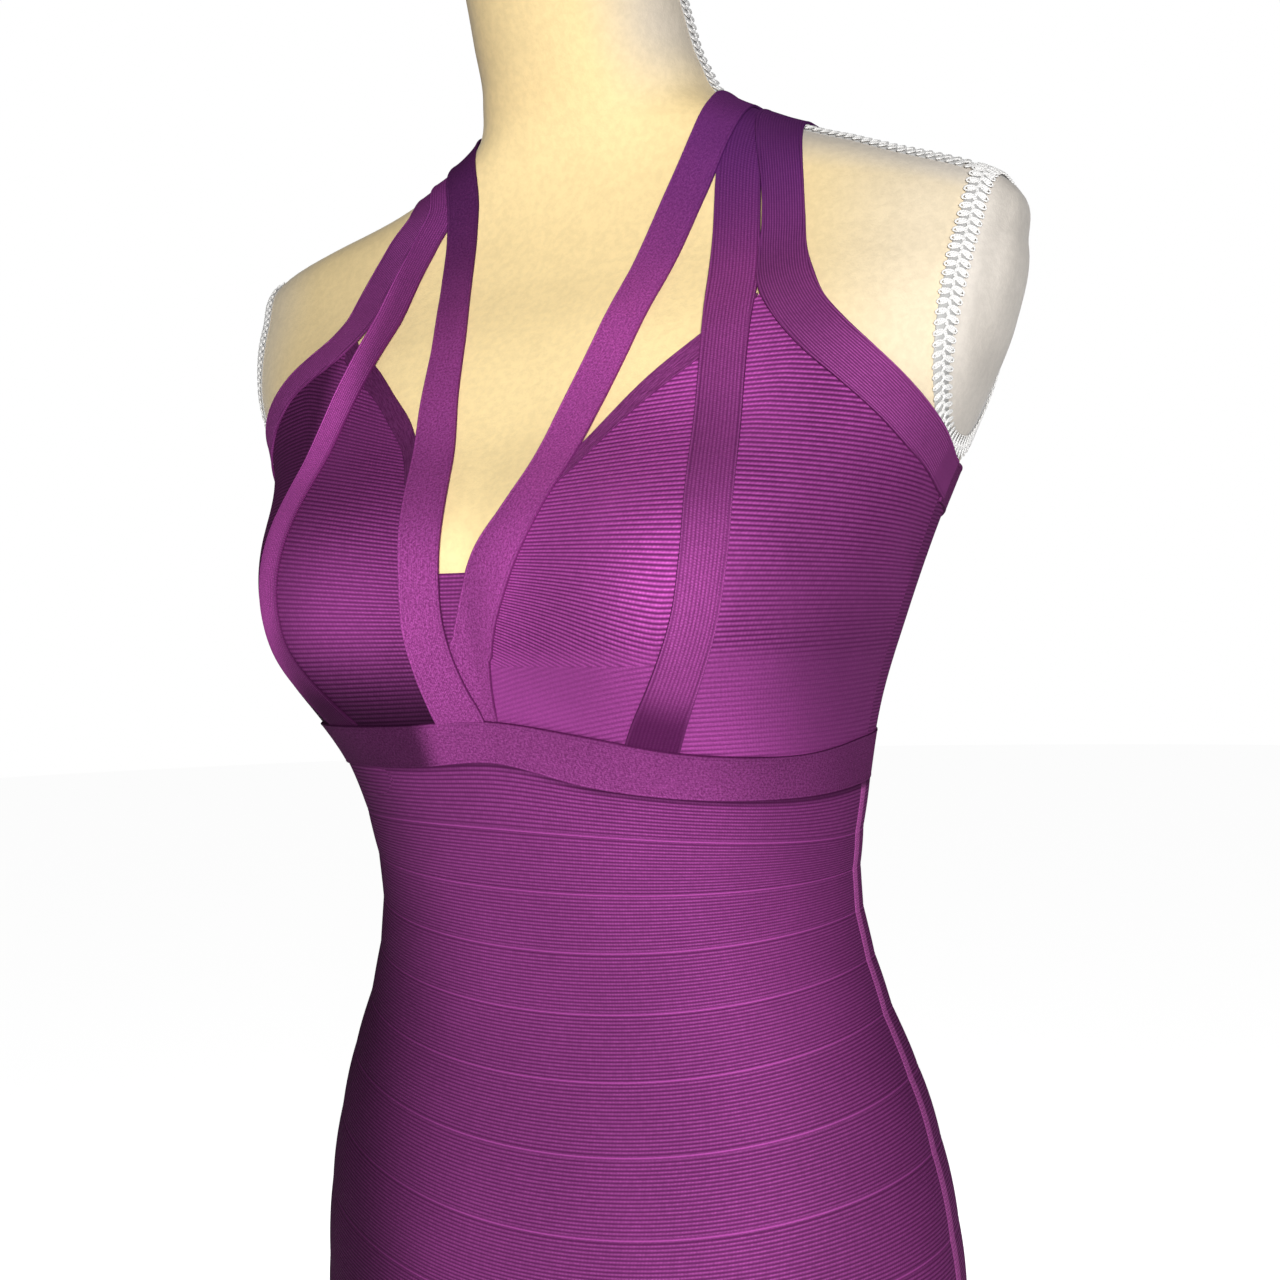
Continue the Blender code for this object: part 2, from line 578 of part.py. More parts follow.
def ribbon_rows(samples, wall, closed=False, trim=None):
    """Outer and inner rows of a strap: near edge, middle and far edge at each sample."""
    count = len(samples)
    side = 1 if samples[0][0] > 0 else -1
    feet = [foot_of(Vector(s[:3])) for s in samples]
    places = []
    for i, sample in enumerate(samples):
        before = feet[(i - 1) % count if closed else max(i - 1, 0)][0]
        after = feet[(i + 1) % count if closed else min(i + 1, count - 1)][0]
        point, normal = feet[i]
        aside = side * normal.cross(after - before).normalized()
        places.append([point + aside * (share * sample[3]) for share in (-0.5, 0.0, 0.5)])
    if trim:
        for k in range(3):
            start, end = foot_of(places[-2][k])[0], foot_of(places[-1][k])[0]
            for _ in range(4):
                reached = trim(start) / (trim(start) - trim(end))
                end = foot_of(start.lerp(end, reached))[0]
            places[-1][k] = end
    outer, inner = [], []
    for sample, row in zip(samples, places):
        lifts = (sample[4], (sample[4] + sample[5]) / 2, sample[5])
        settled = [foot_of(place) for place in row]
        inner.append([foot + lift * normal for (foot, normal), lift in zip(settled, lifts)])
        outer.append([foot + (lift + wall) * normal for (foot, normal), lift in zip(settled, lifts)])
    return outer, inner


# ---------------------------------------------------------------- pieces of cloth
def over_band(point):
    """Height of a point over the upper edge of the underbust band."""
    return point.z - band_edge(math.degrees(bearing(point)), "upper") - SEAM_GAP


def over_back_band(point):
    angle = mirrored(math.degrees(bearing(point)))
    return point.z - look_up(BACK_BAND, BACK_BAND_COLUMNS, "angle", "upper", angle) - SEAM_GAP


def before_side_seam(point):
    """Distance of a point from the side seam, on the front."""
    return section(point.z)["centre"] - SEAM_GAP / 2 - point.y


def strap(name, rows, material, mirror=False, trim=None):
    """Strap along a table of rows; its foot is cut where the trim's distance is nothing."""
    if mirror:
        rows = [(-row[0],) + tuple(row[1:]) for row in rows]
    outer, inner = ribbon_rows(path_points(rows, STATION_STEP), WALL, trim=trim)
    return shell(name, outer, inner, material)


def skirt_panel(name, first, last, material):
    """Front or back of the skirt: strips between the bandage seams, over a plain inside."""
    levels = [None] + seam_heights()
    bottom = len(levels) - 1

    def level(index, degrees):
        if levels[index] is None:
            return band_middle(degrees) - HIDDEN_SEAM
        return seam_line(levels[index], degrees)

    def row(index, share, proud):
        line = []
        for degrees in spread(first, last, PANEL_CELLS):
            height = level(index, degrees)
            if share > 0:
                height += share * (level(index - 1, degrees) - height)
            turn = seam_turn(height)
            inset = min(max(degrees, first + turn), last - turn)
            line.append(figure(math.radians(inset), height, proud))
        return line

    face = SKIN_GAP + WALL
    outer, inner = [row(bottom, 0.0, face)], [row(bottom, 0.0, SKIN_GAP)]
    for index in range(bottom, 1, -1):
        outer.append(row(index, 0.5, face + STRIP_BULGE))
        outer.append(row(index - 1, 0.0, face - SEAM_SINK))
        inner.append(row(index - 1, 0.0, SKIN_GAP))
    for share in (0.35, 0.7):
        outer.append(row(1, share, face))
        inner.append(row(1, share, SKIN_GAP))
    outer.append(row(0, 0.0, face))
    inner.append(row(0, 0.0, SKIN_GAP))
    return shell(name, outer, inner, material)


def cup_grid(side, sides, lower, upper, rows, proud):
    """Points of a cup: sides are shares from the inner edge to the side seam."""
    sign = 1 if side == "left" else -1
    start = cup_inner_angle(side, CUP_NECK_START)
    grid = []
    for k in range(rows + 1):
        line = []
        for share in sides:
            foot = cup_inner_angle(side, band_middle(0.0))
            low = lower(foot + (90.0 - foot) * share)
            high = upper(start + (90.0 - start) * share)
            height = low + (high - low) * (k / rows) ** CUP_CROWDING
            inner_angle = cup_inner_angle(side, height)
            degrees = inner_angle + (90.0 - inner_angle) * share
            degrees = min(degrees, 90.0 - seam_turn(height))
            line.append(figure(math.radians(sign * degrees), height, proud))
        grid.append(line)
    return grid


def cup_sides(side):
    """Columns of a cup: closer at its inner edge, and with one at the peak."""
    start = cup_inner_angle(side, CUP_NECK_START)
    peak = (CUP_PEAK_ANGLE - start) / (90.0 - start)
    return [peak * share for share in (0.0, 0.13, 0.30, 0.52, 0.76)] + spread(peak, 1.0, 9)


def bound_share(level):
    """Full width of binding along the neckline edge, running out behind the middle strap."""
    return min(max((CUP_PEAK_ANGLE + 3.0 - level) / 3.0, 0.0), 1.0)


def build_cup(side, material):
    sign = 1 if side == "left" else -1
    start = cup_inner_angle(side, CUP_NECK_START)

    def lower(level):
        return band_middle(sign * level) + HIDDEN_SEAM

    def upper(level):
        return cup_top(side, level) - BINDING_WIDTH * bound_share(level)

    outer = cup_grid(side, cup_sides(side), lower, upper, CUP_ROWS, SKIN_GAP + WALL)
    inner = cup_grid(side, cup_sides(side), lower, upper, CUP_ROWS, SKIN_GAP)
    return shell("cup_" + side, outer, inner, material)


def build_cup_binding(side, material):
    start = cup_inner_angle(side, CUP_NECK_START)
    sign = 1 if side == "left" else -1

    def grid(proud):
        lines = []
        for drop in (BINDING_WIDTH - SEAM_GAP, BINDING_WIDTH / 2, 0.0):
            line = []
            for share in cup_sides(side)[:6]:
                height = cup_top(side, start + (90.0 - start) * share) - drop
                inner_angle = cup_inner_angle(side, height)
                degrees = inner_angle + (90.0 - inner_angle) * share
                line.append(figure(math.radians(sign * degrees), height, proud))
            lines.append(line)
        return lines

    return shell("cup_binding_" + side, grid(SKIN_GAP + WALL), grid(SKIN_GAP), material)


def build_gusset(material):
    """Small centre piece between the cups, behind the crossing straps."""
    rows, cells = 7, 3

    def grid(proud):
        lines = []
        for k in range(rows + 1):
            line = []
            for share in spread(0.0, 1.0, cells):
                low = band_middle(0.0) + HIDDEN_SEAM
                height = low + (GUSSET_TOP - low) * k / rows
                gap = math.degrees(HIDDEN_SEAM / 0.130)
                right = -cup_inner_angle("right", height) + gap
                left = cup_inner_angle("left", height) - gap
                degrees = right + (left - right) * share
                if k == 0:
                    height = band_middle(degrees) + HIDDEN_SEAM
                line.append(figure(math.radians(degrees), height, proud))
            lines.append(line)
        return lines

    return shell("centre_gusset", grid(SKIN_GAP + WALL), grid(SKIN_GAP), material)


def build_band(name, first, last, lower, upper, proud, cells, material):
    """Flat band round part of the figure, between two edge lines."""

    def grid(out):
        lines = []
        for share in (0.0, 0.5, 1.0):
            line = []
            for degrees in spread(first, last, cells):
                height = lower(degrees) + share * (upper(degrees) - lower(degrees))
                turn = seam_turn(height)
                inset = min(max(degrees, first + turn), last - turn)
                line.append(figure(math.radians(inset), height, out))
            lines.append(line)
        return lines

    return shell(name, grid(proud + WALL), grid(proud), material)


def build_back_panel(material):
    rows = 6

    def grid(proud):
        lines = []
        for k in range(rows + 1):
            line = []
            for degrees in spread(90.0, 270.0, PANEL_CELLS):
                low = band_middle(degrees) + HIDDEN_SEAM
                high = look_up(BACK_BAND, BACK_BAND_COLUMNS, "angle", "lower", mirrored(degrees)) - SEAM_GAP
                height = low + (high - low) * k / rows
                turn = seam_turn(height)
                inset = min(max(degrees, 90.0 + turn), 270.0 - turn)
                line.append(figure(math.radians(inset), height, proud))
            lines.append(line)
        return lines

    return shell("bodice_back", grid(SKIN_GAP + WALL), grid(SKIN_GAP), material)


# ---------------------------------------------------------------- the form
def build_torso(material):
    """Smooth torso and neck, closed by rounded flat ends."""
    heights = [FORM_BOTTOM]
    for low, high, rows in TORSO_STRETCHES:
        heights += spread(low, high, rows)[1:]
    angles = list(TORSO_ANGLES) + [360 - angle for angle in TORSO_ANGLES[-2:0:-1]]
    count = len(angles)
    points, faces = [], []

    def add_ring(height, scale, level):
        middle = Vector((0.0, section(height)["centre"], level))
        for angle in angles:
            rim = skin(math.radians(angle), height)
            rim.z = level
            points.append(middle + (rim - middle) * scale)

    heights[0] += END_ROUNDING
    heights[-1] -= END_ROUNDING
    add_ring(heights[0], 0.90, FORM_BOTTOM)
    add_ring(heights[0], 0.97, FORM_BOTTOM + 0.25 * END_ROUNDING)
    for height in heights:
        add_ring(height, 1.0, height)
    add_ring(heights[-1], 0.97, NECK_TOP - 0.25 * END_ROUNDING)
    add_ring(heights[-1], 0.90, NECK_TOP)
    rings = len(points) // count
    for r in range(rings - 1):
        for k in range(count):
            a, b = r * count + k, r * count + (k + 1) % count
            d, e = a + count, b + count
            if (points[e] - points[a]).length <= (points[d] - points[b]).length:
                faces += [(a, b, e), (a, e, d)]
            else:
                faces += [(a, b, d), (b, e, d)]
    faces.append(tuple(reversed(range(count))))
    top = (rings - 1) * count
    faces.append(tuple(range(top, top + count)))
    return add_object("form_torso", points, faces, material)


def ring_out(side, height):
    """How far out the plane of an armplate's ring lies at a height."""
    return RING_OUT[side] + RING_LEAN * (height - RING_AT)


def ring_end(side, outside):
    """Height at which the plane of the ring leaves the figure."""
    inside = RING_MIDDLE
    for _ in range(40):
        middle = (inside + outside) / 2
        if section(middle)["half_width"] > ring_out(side, middle):
            inside = middle
        else:
            outside = middle
    return inside


def ring_points(side, count):
    """Evenly spaced points of an armplate's braid ring."""
    low, high = ring_end(side, RING_MIDDLE - RING_REACH), ring_end(side, RING_MIDDLE + RING_REACH)
    sign = 1 if side == "left" else -1
    dense = []
    for k in range(721):
        turn = math.radians(k / 2)
        height = (low + high) / 2 + (high - low) / 2 * math.cos(turn)
        s = section(height)
        out = ring_out(side, height)
        share = (1 - min(out / s["half_width"], 1.0) ** s["square"]) ** (1 / s["square"])
        depth = s["back"] * share
        if math.sin(turn) < 0:
            depth = -s["front"] * share - bust_swell(out, height, share)
        dense.append(Vector((sign * out, s["centre"] + depth, height)))
    reach = [0.0]
    for k in range(1, len(dense)):
        reach.append(reach[-1] + (dense[k] - dense[k - 1]).length)
    points, k = [], 0
    for i in range(count):
        wanted = reach[-1] * i / count
        while reach[k + 1] < wanted:
            k += 1
        points.append(dense[k].lerp(dense[k + 1], (wanted - reach[k]) / (reach[k + 1] - reach[k])))
    return points


def build_arm_braid(name, side, material):
    """Closed ring of braid round an armplate."""
    samples = [tuple(p) + (BRAID_WIDTH, BRAID_GAP, BRAID_GAP) for p in ring_points(side, RING_SAMPLES)]
    outer, inner = ribbon_rows(samples, BRAID_THICKNESS, closed=True)
    points, faces = [], []
    for outer_row, inner_row in zip(outer, inner):
        points += list(outer_row) + list(reversed(inner_row))
    around = 6
    for r in range(len(outer)):
        following = (r + 1) % len(outer)
        for k in range(around):
            a, b = r * around + k, r * around + (k + 1) % around
            c, d = following * around + (k + 1) % around, following * around + k
            faces.append((a, b, c, d))
    return add_object(name, points, faces, material)


def build_seam_braid(name, side, material):
    """Braid from the top of the neck to the armplate's ring."""
    rows = [row + (BRAID_WIDTH, BRAID_GAP, BRAID_GAP) for row in SEAM_BRAID[side]]
    outer, inner = ribbon_rows(path_points(rows, 0.013), BRAID_THICKNESS)
    return shell(name, outer, inner, material)


def turned(name, profile, segments, material):
    """Solid of revolution about Z; the profile runs from the bottom of the axis to its top."""
    mesh = bpy.data.meshes.new(name)
    shape = bmesh.new()
    rings = []
    for radius, height in profile:
        if radius == 0.0:
            rings.append([shape.verts.new((0.0, 0.0, height))])
            continue
        ring = []
        for k in range(segments):
            turn = 2 * math.pi * k / segments
            ring.append(shape.verts.new((radius * math.cos(turn), radius * math.sin(turn), height)))
        rings.append(ring)
    for low, high in zip(rings, rings[1:]):
        for k in range(segments):
            following = (k + 1) % segments
            corners = [low[k % len(low)], low[following % len(low)]]
            corners += [high[following % len(high)], high[k % len(high)]]
            shape.faces.new(list(dict.fromkeys(corners)))
    bmesh.ops.recalc_face_normals(shape, faces=shape.faces)
    shape.to_mesh(mesh)
    shape.free()
    mesh.materials.append(material)
    mesh.shade_smooth()
    mesh.set_sharp_from_angle(angle=math.radians(35))
    piece = bpy.data.objects.new(name, mesh)
    bpy.context.scene.collection.objects.link(piece)
    return piece


def build_stand(metal):
    """Weighted round base with a socket, and the pole that carries the torso on a collar."""
    base_profile = (
        (0.0, 0.0),
        (BASE_RADIUS, 0.0),
        (BASE_RADIUS, BASE_EDGE),
        (BASE_RADIUS - 0.006, BASE_EDGE + 0.005),
        (SOCKET_RADIUS + 0.030, BASE_HEIGHT - 0.002),
        (SOCKET_RADIUS + 0.004, BASE_HEIGHT),
        (SOCKET_RADIUS, BASE_HEIGHT + 0.004),
        (SOCKET_RADIUS - 0.004, SOCKET_HEIGHT),
        (0.0, SOCKET_HEIGHT),
    )
    turned("stand_base", base_profile, 40, metal)
    top = WAIST_HEIGHT + FORM_BOTTOM - TOUCH_GAP
    pole_profile = (
        (0.0, SOCKET_HEIGHT + TOUCH_GAP),
        (POLE_RADIUS, SOCKET_HEIGHT + TOUCH_GAP),
        (POLE_RADIUS, top - COLLAR_HEIGHT - 0.006),
        (POLE_RADIUS + 0.008, top - COLLAR_HEIGHT),
        (COLLAR_RADIUS, top - COLLAR_HEIGHT),
        (COLLAR_RADIUS, top),
        (0.0, top),
    )
    turned("stand_pole", pole_profile, 24, metal)


# ---------------------------------------------------------------- materials and the whole
def make_material(name, colour, roughness, metallic=0.0):
    material = bpy.data.materials.new(name)
    material.use_nodes = True
    shader = material.node_tree.nodes["Principled BSDF"]
    shader.inputs["Base Color"].default_value = (*colour, 1.0)
    shader.inputs["Roughness"].default_value = roughness
    shader.inputs["Metallic"].default_value = metallic
    return material


def build_dress():
    knit = make_material("ribbed knit", (0.135, 0.018, 0.105), 0.62)
    strapping = make_material("strap knit", (0.155, 0.024, 0.125), 0.70)

    skirt_panel("skirt_front", -90.0, 90.0, knit)
    skirt_panel("skirt_back", 90.0, 270.0, knit)
    for side in ("left", "right"):
        build_cup(side, knit)
        build_cup_binding(side, strapping)
    build_gusset(knit)
    build_back_panel(knit)

    def lower(degrees):
        return band_edge(degrees, "lower")

    def upper(degrees):
        return band_edge(degrees, "upper")

    build_band("underbust_band_front", -90.0, 90.0, lower, upper, OVER_PANEL, 24, strapping)
    build_band("underbust_band_back", 90.0, 270.0, lower, upper, OVER_PANEL, 20, strapping)

    def back_lower(degrees):
        return look_up(BACK_BAND, BACK_BAND_COLUMNS, "angle", "lower", mirrored(degrees))

    def back_upper(degrees):
        return look_up(BACK_BAND, BACK_BAND_COLUMNS, "angle", "upper", mirrored(degrees))

    build_band("back_top_band", 90.0, 270.0, back_lower, back_upper, OVER_BRAID, PANEL_CELLS, strapping)

    strap("neckline_strap_left", NECKLINE_STRAP_LEFT, strapping, trim=over_band)
    strap("neckline_strap_right", NECKLINE_STRAP_RIGHT, strapping, trim=over_band)
    strap("middle_strap_left", MIDDLE_STRAP_LEFT, strapping, trim=over_band)
    strap("middle_strap_right", MIDDLE_STRAP_RIGHT, strapping, trim=over_band)
    strap("armhole_band_left", ARMHOLE_BAND_LEFT, strapping, trim=before_side_seam)
    strap("armhole_band_right", ARMHOLE_BAND_RIGHT, strapping, trim=before_side_seam)
    for side in ("left", "right"):
        mirror = side == "right"
        strap("back_strap_" + side, BACK_STRAP, strapping, mirror, over_back_band)


def build_form():
    jersey = make_material("cream jersey", (0.80, 0.70, 0.52), 0.80)
    gimp = make_material("cream gimp braid", (0.72, 0.68, 0.60), 0.70)
    metal = make_material("painted metal", (0.75, 0.74, 0.72), 0.40)
    build_torso(jersey)
    for side in ("left", "right"):
        build_arm_braid("arm_braid_" + side, side, gimp)
        build_seam_braid("seam_braid_" + side, side, gimp)
    build_stand(metal)


def main():
    for piece in list(bpy.data.objects):
        bpy.data.objects.remove(piece, do_unlink=True)
    build_form()
    build_dress()


main()
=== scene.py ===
"""Looks of a strappy bandage-knit dress worn by a limbless dress form on a pole.

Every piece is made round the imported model, in metres, with the floor at z = 0 and the dress facing -Y.
The figure is measured from its waist, as a stack of rounded-square sections; cloth, straps and braid
are points of that figure moved out along its normal.
"""

import math

import bpy
import numpy as np
from bpy.props import FloatProperty, FloatVectorProperty, IntProperty, PointerProperty
from mathutils import Matrix, Vector


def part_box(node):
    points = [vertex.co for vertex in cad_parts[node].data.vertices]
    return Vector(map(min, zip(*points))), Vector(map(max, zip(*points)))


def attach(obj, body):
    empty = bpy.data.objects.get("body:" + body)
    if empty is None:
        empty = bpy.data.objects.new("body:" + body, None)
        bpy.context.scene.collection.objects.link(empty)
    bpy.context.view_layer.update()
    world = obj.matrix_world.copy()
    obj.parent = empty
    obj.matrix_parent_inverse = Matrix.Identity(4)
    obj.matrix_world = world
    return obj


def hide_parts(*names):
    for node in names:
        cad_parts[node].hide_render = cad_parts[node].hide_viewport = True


bl_info = {
    "name": "Bandage-knit dress",
    "version": (1, 0, 0),
    "blender": (4, 5, 0),
    "location": "3D View > Sidebar > Dress",
    "description": "Makes the knit panels, straps, braid, form and stand of a dress on a dress form",
    "category": "Object",
}

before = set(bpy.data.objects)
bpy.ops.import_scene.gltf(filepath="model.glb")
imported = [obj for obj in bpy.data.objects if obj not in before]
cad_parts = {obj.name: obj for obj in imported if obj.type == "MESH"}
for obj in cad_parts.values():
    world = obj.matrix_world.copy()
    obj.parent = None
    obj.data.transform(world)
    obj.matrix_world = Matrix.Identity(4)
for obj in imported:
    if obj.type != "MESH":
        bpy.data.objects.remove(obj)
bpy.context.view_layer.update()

# ---------------------------------------------------------------- the figure, measured from the waist
WAIST_HEIGHT = 1.030
SIGN = {"left": 1.0, "right": -1.0}
SIDE_SEAM = 90.0
FORM_BOTTOM = -0.270
NECK_TOP = 0.480
HEM_HEIGHT = -0.490

SECTION_COLUMNS = ("height", "half_width", "front", "back", "square", "centre")
SECTIONS = np.array((
    (-0.5, 0.156, 0.093, 0.112, 2.15, 0.0),
    (-0.37, 0.164, 0.094, 0.117, 2.15, 0.0),
    (-0.28, 0.17, 0.093, 0.121, 2.15, 0.0),
    (-0.21, 0.173, 0.091, 0.122, 2.15, 0.0),
    (-0.155, 0.169, 0.088, 0.116, 2.15, 0.0),
    (-0.095, 0.155, 0.08, 0.1, 2.2, 0.0),
    (-0.05, 0.138, 0.079, 0.084, 2.2, 0.0),
    (0.0, 0.1265, 0.089, 0.077, 2.2, 0.0),
    (0.05, 0.131, 0.104, 0.081, 2.2, 0.0),
    (0.095, 0.139, 0.116, 0.087, 2.25, 0.0),
    (0.135, 0.152, 0.128, 0.092, 2.3, 0.0),
    (0.175, 0.167, 0.128, 0.095, 2.35, 0.0),
    (0.22, 0.186, 0.101, 0.097, 2.5, 0.001),
    (0.27, 0.208, 0.076, 0.095, 2.7, 0.002),
    (0.305, 0.214, 0.057, 0.084, 2.8, 0.006),
    (0.335, 0.203, 0.051, 0.067, 2.8, 0.013),
    (0.36, 0.129, 0.053, 0.055, 2.5, 0.017),
    (0.385, 0.073, 0.058, 0.05, 2.2, 0.015),
    (0.405, 0.06, 0.058, 0.053, 2.0, 0.002),
    (0.43, 0.056, 0.058, 0.053, 2.0, -0.011),
    (0.48, 0.056, 0.058, 0.052, 2.0, -0.028),
))
BUST = {"across": 0.115, "height": 0.128, "swell": 0.043, "spread": 0.069, "below": 0.048, "above": 0.067}

# Underbust band: lower and upper edge, by the angle from the middle of the front to the form's left.
BAND = np.array((
    (-180, 0.062, 0.084),
    (-135, 0.0625, 0.085),
    (-90, 0.065, 0.088),
    (-60, 0.068, 0.0895),
    (-40, 0.07, 0.0905),
    (-20, 0.07, 0.0905),
    (0, 0.0725, 0.0918),
    (20, 0.062, 0.086),
    (40, 0.056, 0.0775),
    (60, 0.0535, 0.0735),
    (90, 0.055, 0.078),
    (135, 0.059, 0.0815),
    (180, 0.062, 0.084),
))

FIRST_SEAM = 0.041
STRIP_AT_WAIST = 0.029
STRIP_AT_HIPS = 0.038
HIP_DROP = 0.150
SEAM_LEAN = 0.005
SEAM_RISE = np.array((
    (-0.49, 0.0),
    (-0.3, 0.014),
    (-0.22, 0.026),
    (-0.148, 0.03),
    (-0.047, 0.018),
    (0.009, 0.006),
    (0.041, -0.005),
    (0.075, 0.0),
))

# Cup edges: height and angle of the inner edge, then angle and height of the upper edges.
CUP_INNER_EDGE = {
    "left": np.array(((0.08, 2.0), (0.107, 1.5), (0.132, 4.5), (0.154, 8.0), (0.172, 10.0), (0.199, 12.0))),
    "right": np.array(((0.08, 9.5), (0.107, 9.0), (0.132, 8.5), (0.154, 8.5), (0.172, 9.5), (0.199, 12.0))),
}
CUP_NECK_START = 0.199
CUP_PEAK_ANGLE = 30.5
BINDING_WIDTH = 0.016
CUP_NECKLINE_EDGE = {
    "left": np.array(((12, 0.199), (14.5, 0.213), (19, 0.2375), (24.5, 0.259), (30.5, 0.279))),
    "right": np.array(
        ((12, 0.199), (13.6, 0.2155), (15.5, 0.2277), (19.8, 0.2466), (23.8, 0.2635), (30.5, 0.279))
    ),
}
CUP_ARMHOLE_EDGE = np.array(
    ((30.5, 0.279), (34, 0.27), (39.5, 0.259), (44, 0.25), (55, 0.2325), (70, 0.2135), (80, 0.204),
     (90, 0.1965))
)
BACK_BAND = np.array(((90, 0.187, 0.206), (110, 0.183, 0.204), (145, 0.177, 0.199), (180, 0.175, 0.197)))
GUSSET_TOP = 0.157
# The right cup's upper edge rises a little at its peak and again beside it: height, angle and spread.
PEAK_RISE = (0.008, CUP_PEAK_ANGLE, 3.0)
SHOULDER_RISE = (0.010, 47.0, 9.0)

# Ribs of a cup sag or climb: how much lower than level they start at the inner edge, and their slope
# towards the side seam, by height.
RIB_FOLD_ANGLE = 38.0
RIB_SPACING = 0.84
# They bend at the fold angle, over these degrees before and after it; the slope counts over this reach.
INNER_SPAN = 28.0
SIDE_SPAN = 52.0
SIDE_REACH = 0.095
INNER_DROP = {
    "left": np.array(
        ((0.08, 0.03), (0.115, 0.03), (0.13, 0.025), (0.143, 0.018), (0.155, 0.01), (0.167, 0.003),
         (0.18, -0.001), (0.3, -0.002))
    ),
    "right": np.array(
        ((0.08, 0.002), (0.121, 0.0), (0.134, -0.002), (0.147, -0.006), (0.16, -0.009), (0.173, -0.012),
         (0.2, -0.018), (0.235, -0.034), (0.3, -0.042))
    ),
}
# Under this height, at the inner edge of the left cup, a dart turns the ribs the other way.
DART_HEIGHT = 0.116
DART_DROP = -0.012
SIDE_SLOPE = np.array(
    ((0.08, 0.01), (0.106, 0.035), (0.13, 0.035), (0.142, 0.01), (0.154, 0.0), (0.166, -0.035),
     (0.178, -0.06), (0.19, -0.08), (0.203, -0.1), (0.23, -0.14), (0.28, -0.16))
)

# Straps, from behind the shoulder down: middle line, width, and the layer on which the edge towards
# the neck (near) and the edge towards the arm (far) lie: the form, its braid, a panel, beside a fold,
# a strap at the shoulder, one strap or two. Each layer's height is how far it stands off the figure.
SEAT = 0.0004
FORM, BRAID, PANEL, FOLD, SHOULDER, STRAP, STRAPS = range(7)
LAYER_HEIGHTS = np.array((SEAT, 0.0007, 0.0017, 0.0018, 0.0021, 0.0030, 0.0029))


def mirrored(rows):
    return tuple((-row[0],) + row[1:] for row in rows)


NECKLINE_STRAP_LEFT = (
    (0.08, 0.021, 0.383, 0.0205, SHOULDER, SHOULDER),
    (0.08, 0.002, 0.385, 0.0205, SHOULDER, SHOULDER),
    (0.0815, -0.02, 0.373, 0.02, FOLD, SHOULDER),
    (0.0758, -0.033, 0.35, 0.0203, FOLD, SHOULDER),
    (0.0625, -0.042, 0.321, 0.022, FORM, BRAID),
    (0.0535, -0.0608, 0.2889, 0.022, FORM, BRAID),
    (0.0462, -0.0802, 0.258, 0.0212, FORM, BRAID),
    (0.0374, -0.0976, 0.2255, 0.022, FORM, PANEL),
    (0.0306, -0.1196, 0.1954, 0.0226, FORM, PANEL),
    (0.0245, -0.13, 0.178, 0.0237, BRAID, PANEL),
    (0.0148, -0.134, 0.16, 0.0245, PANEL, PANEL),
    (0.0034, -0.1345, 0.134, 0.0218, PANEL, PANEL),
    (-0.0032, -0.128, 0.11, 0.0215, PANEL, PANEL),
    (-0.0056, -0.12, 0.0925, 0.0215, PANEL, PANEL),
    (-0.0064, -0.113, 0.083, 0.0215, PANEL, PANEL),
)
NECKLINE_STRAP_RIGHT = (
    (-0.07, 0.021, 0.387, 0.0205, BRAID, STRAPS),
    (-0.069, 0.002, 0.39, 0.0205, BRAID, STRAPS),
    (-0.064, -0.02, 0.379, 0.02, BRAID, STRAPS),
    (-0.06, -0.0335, 0.354, 0.018, FORM, STRAPS),
    (-0.0588, -0.0373, 0.3326, 0.0174, FORM, PANEL),
    (-0.0538, -0.054, 0.2997, 0.0178, FORM, BRAID),
    (-0.0453, -0.0737, 0.2693, 0.0188, FORM, BRAID),
    (-0.04, -0.0912, 0.2371, 0.0205, FORM, PANEL),
    (-0.0315, -0.1114, 0.2057, 0.0215, FORM, PANEL),
    (-0.024, -0.13, 0.178, 0.0208, PANEL, STRAP),
    (-0.0222, -0.1351, 0.156, 0.0198, STRAP, STRAP),
    (-0.0222, -0.1341, 0.137, 0.0203, STRAP, STRAP),
    (-0.0203, -0.129, 0.1185, 0.0212, STRAP, STRAP),
    (-0.0174, -0.1219, 0.1029, 0.023, STRAP, STRAP),
    (-0.0155, -0.119, 0.096, 0.0242, STRAP, STRAP),
    (-0.013, -0.115, 0.083, 0.0255, STRAP, STRAP),
)
MIDDLE_STRAP_LEFT = (
    (0.094, 0.021, 0.378, 0.018, BRAID, BRAID),
    (0.094, 0.002, 0.38, 0.018, BRAID, BRAID),
    (0.0932, -0.022, 0.362, 0.0195, BRAID, BRAID),
    (0.0928, -0.0349, 0.3363, 0.0222, BRAID, BRAID),
    (0.0954, -0.046, 0.311, 0.023, BRAID, BRAID),
    (0.099, -0.0596, 0.2869, 0.0244, BRAID, BRAID),
    (0.1012, -0.074, 0.262, 0.0222, PANEL, PANEL),
    (0.1031, -0.0858, 0.2367, 0.0209, PANEL, PANEL),
    (0.1077, -0.106, 0.2043, 0.0204, PANEL, PANEL),
    (0.1112, -0.1225, 0.181, 0.0198, PANEL, PANEL),
    (0.1115, -0.1324, 0.1546, 0.0197, PANEL, PANEL),
    (0.1078, -0.1329, 0.1355, 0.0197, PANEL, PANEL),
    (0.1008, -0.1299, 0.1178, 0.0203, PANEL, PANEL),
    (0.0912, -0.1219, 0.1026, 0.0212, PANEL, PANEL),
    (0.0815, -0.1128, 0.0887, 0.0228, PANEL, PANEL),
    (0.0722, -0.105, 0.071, 0.0245, PANEL, PANEL),
)
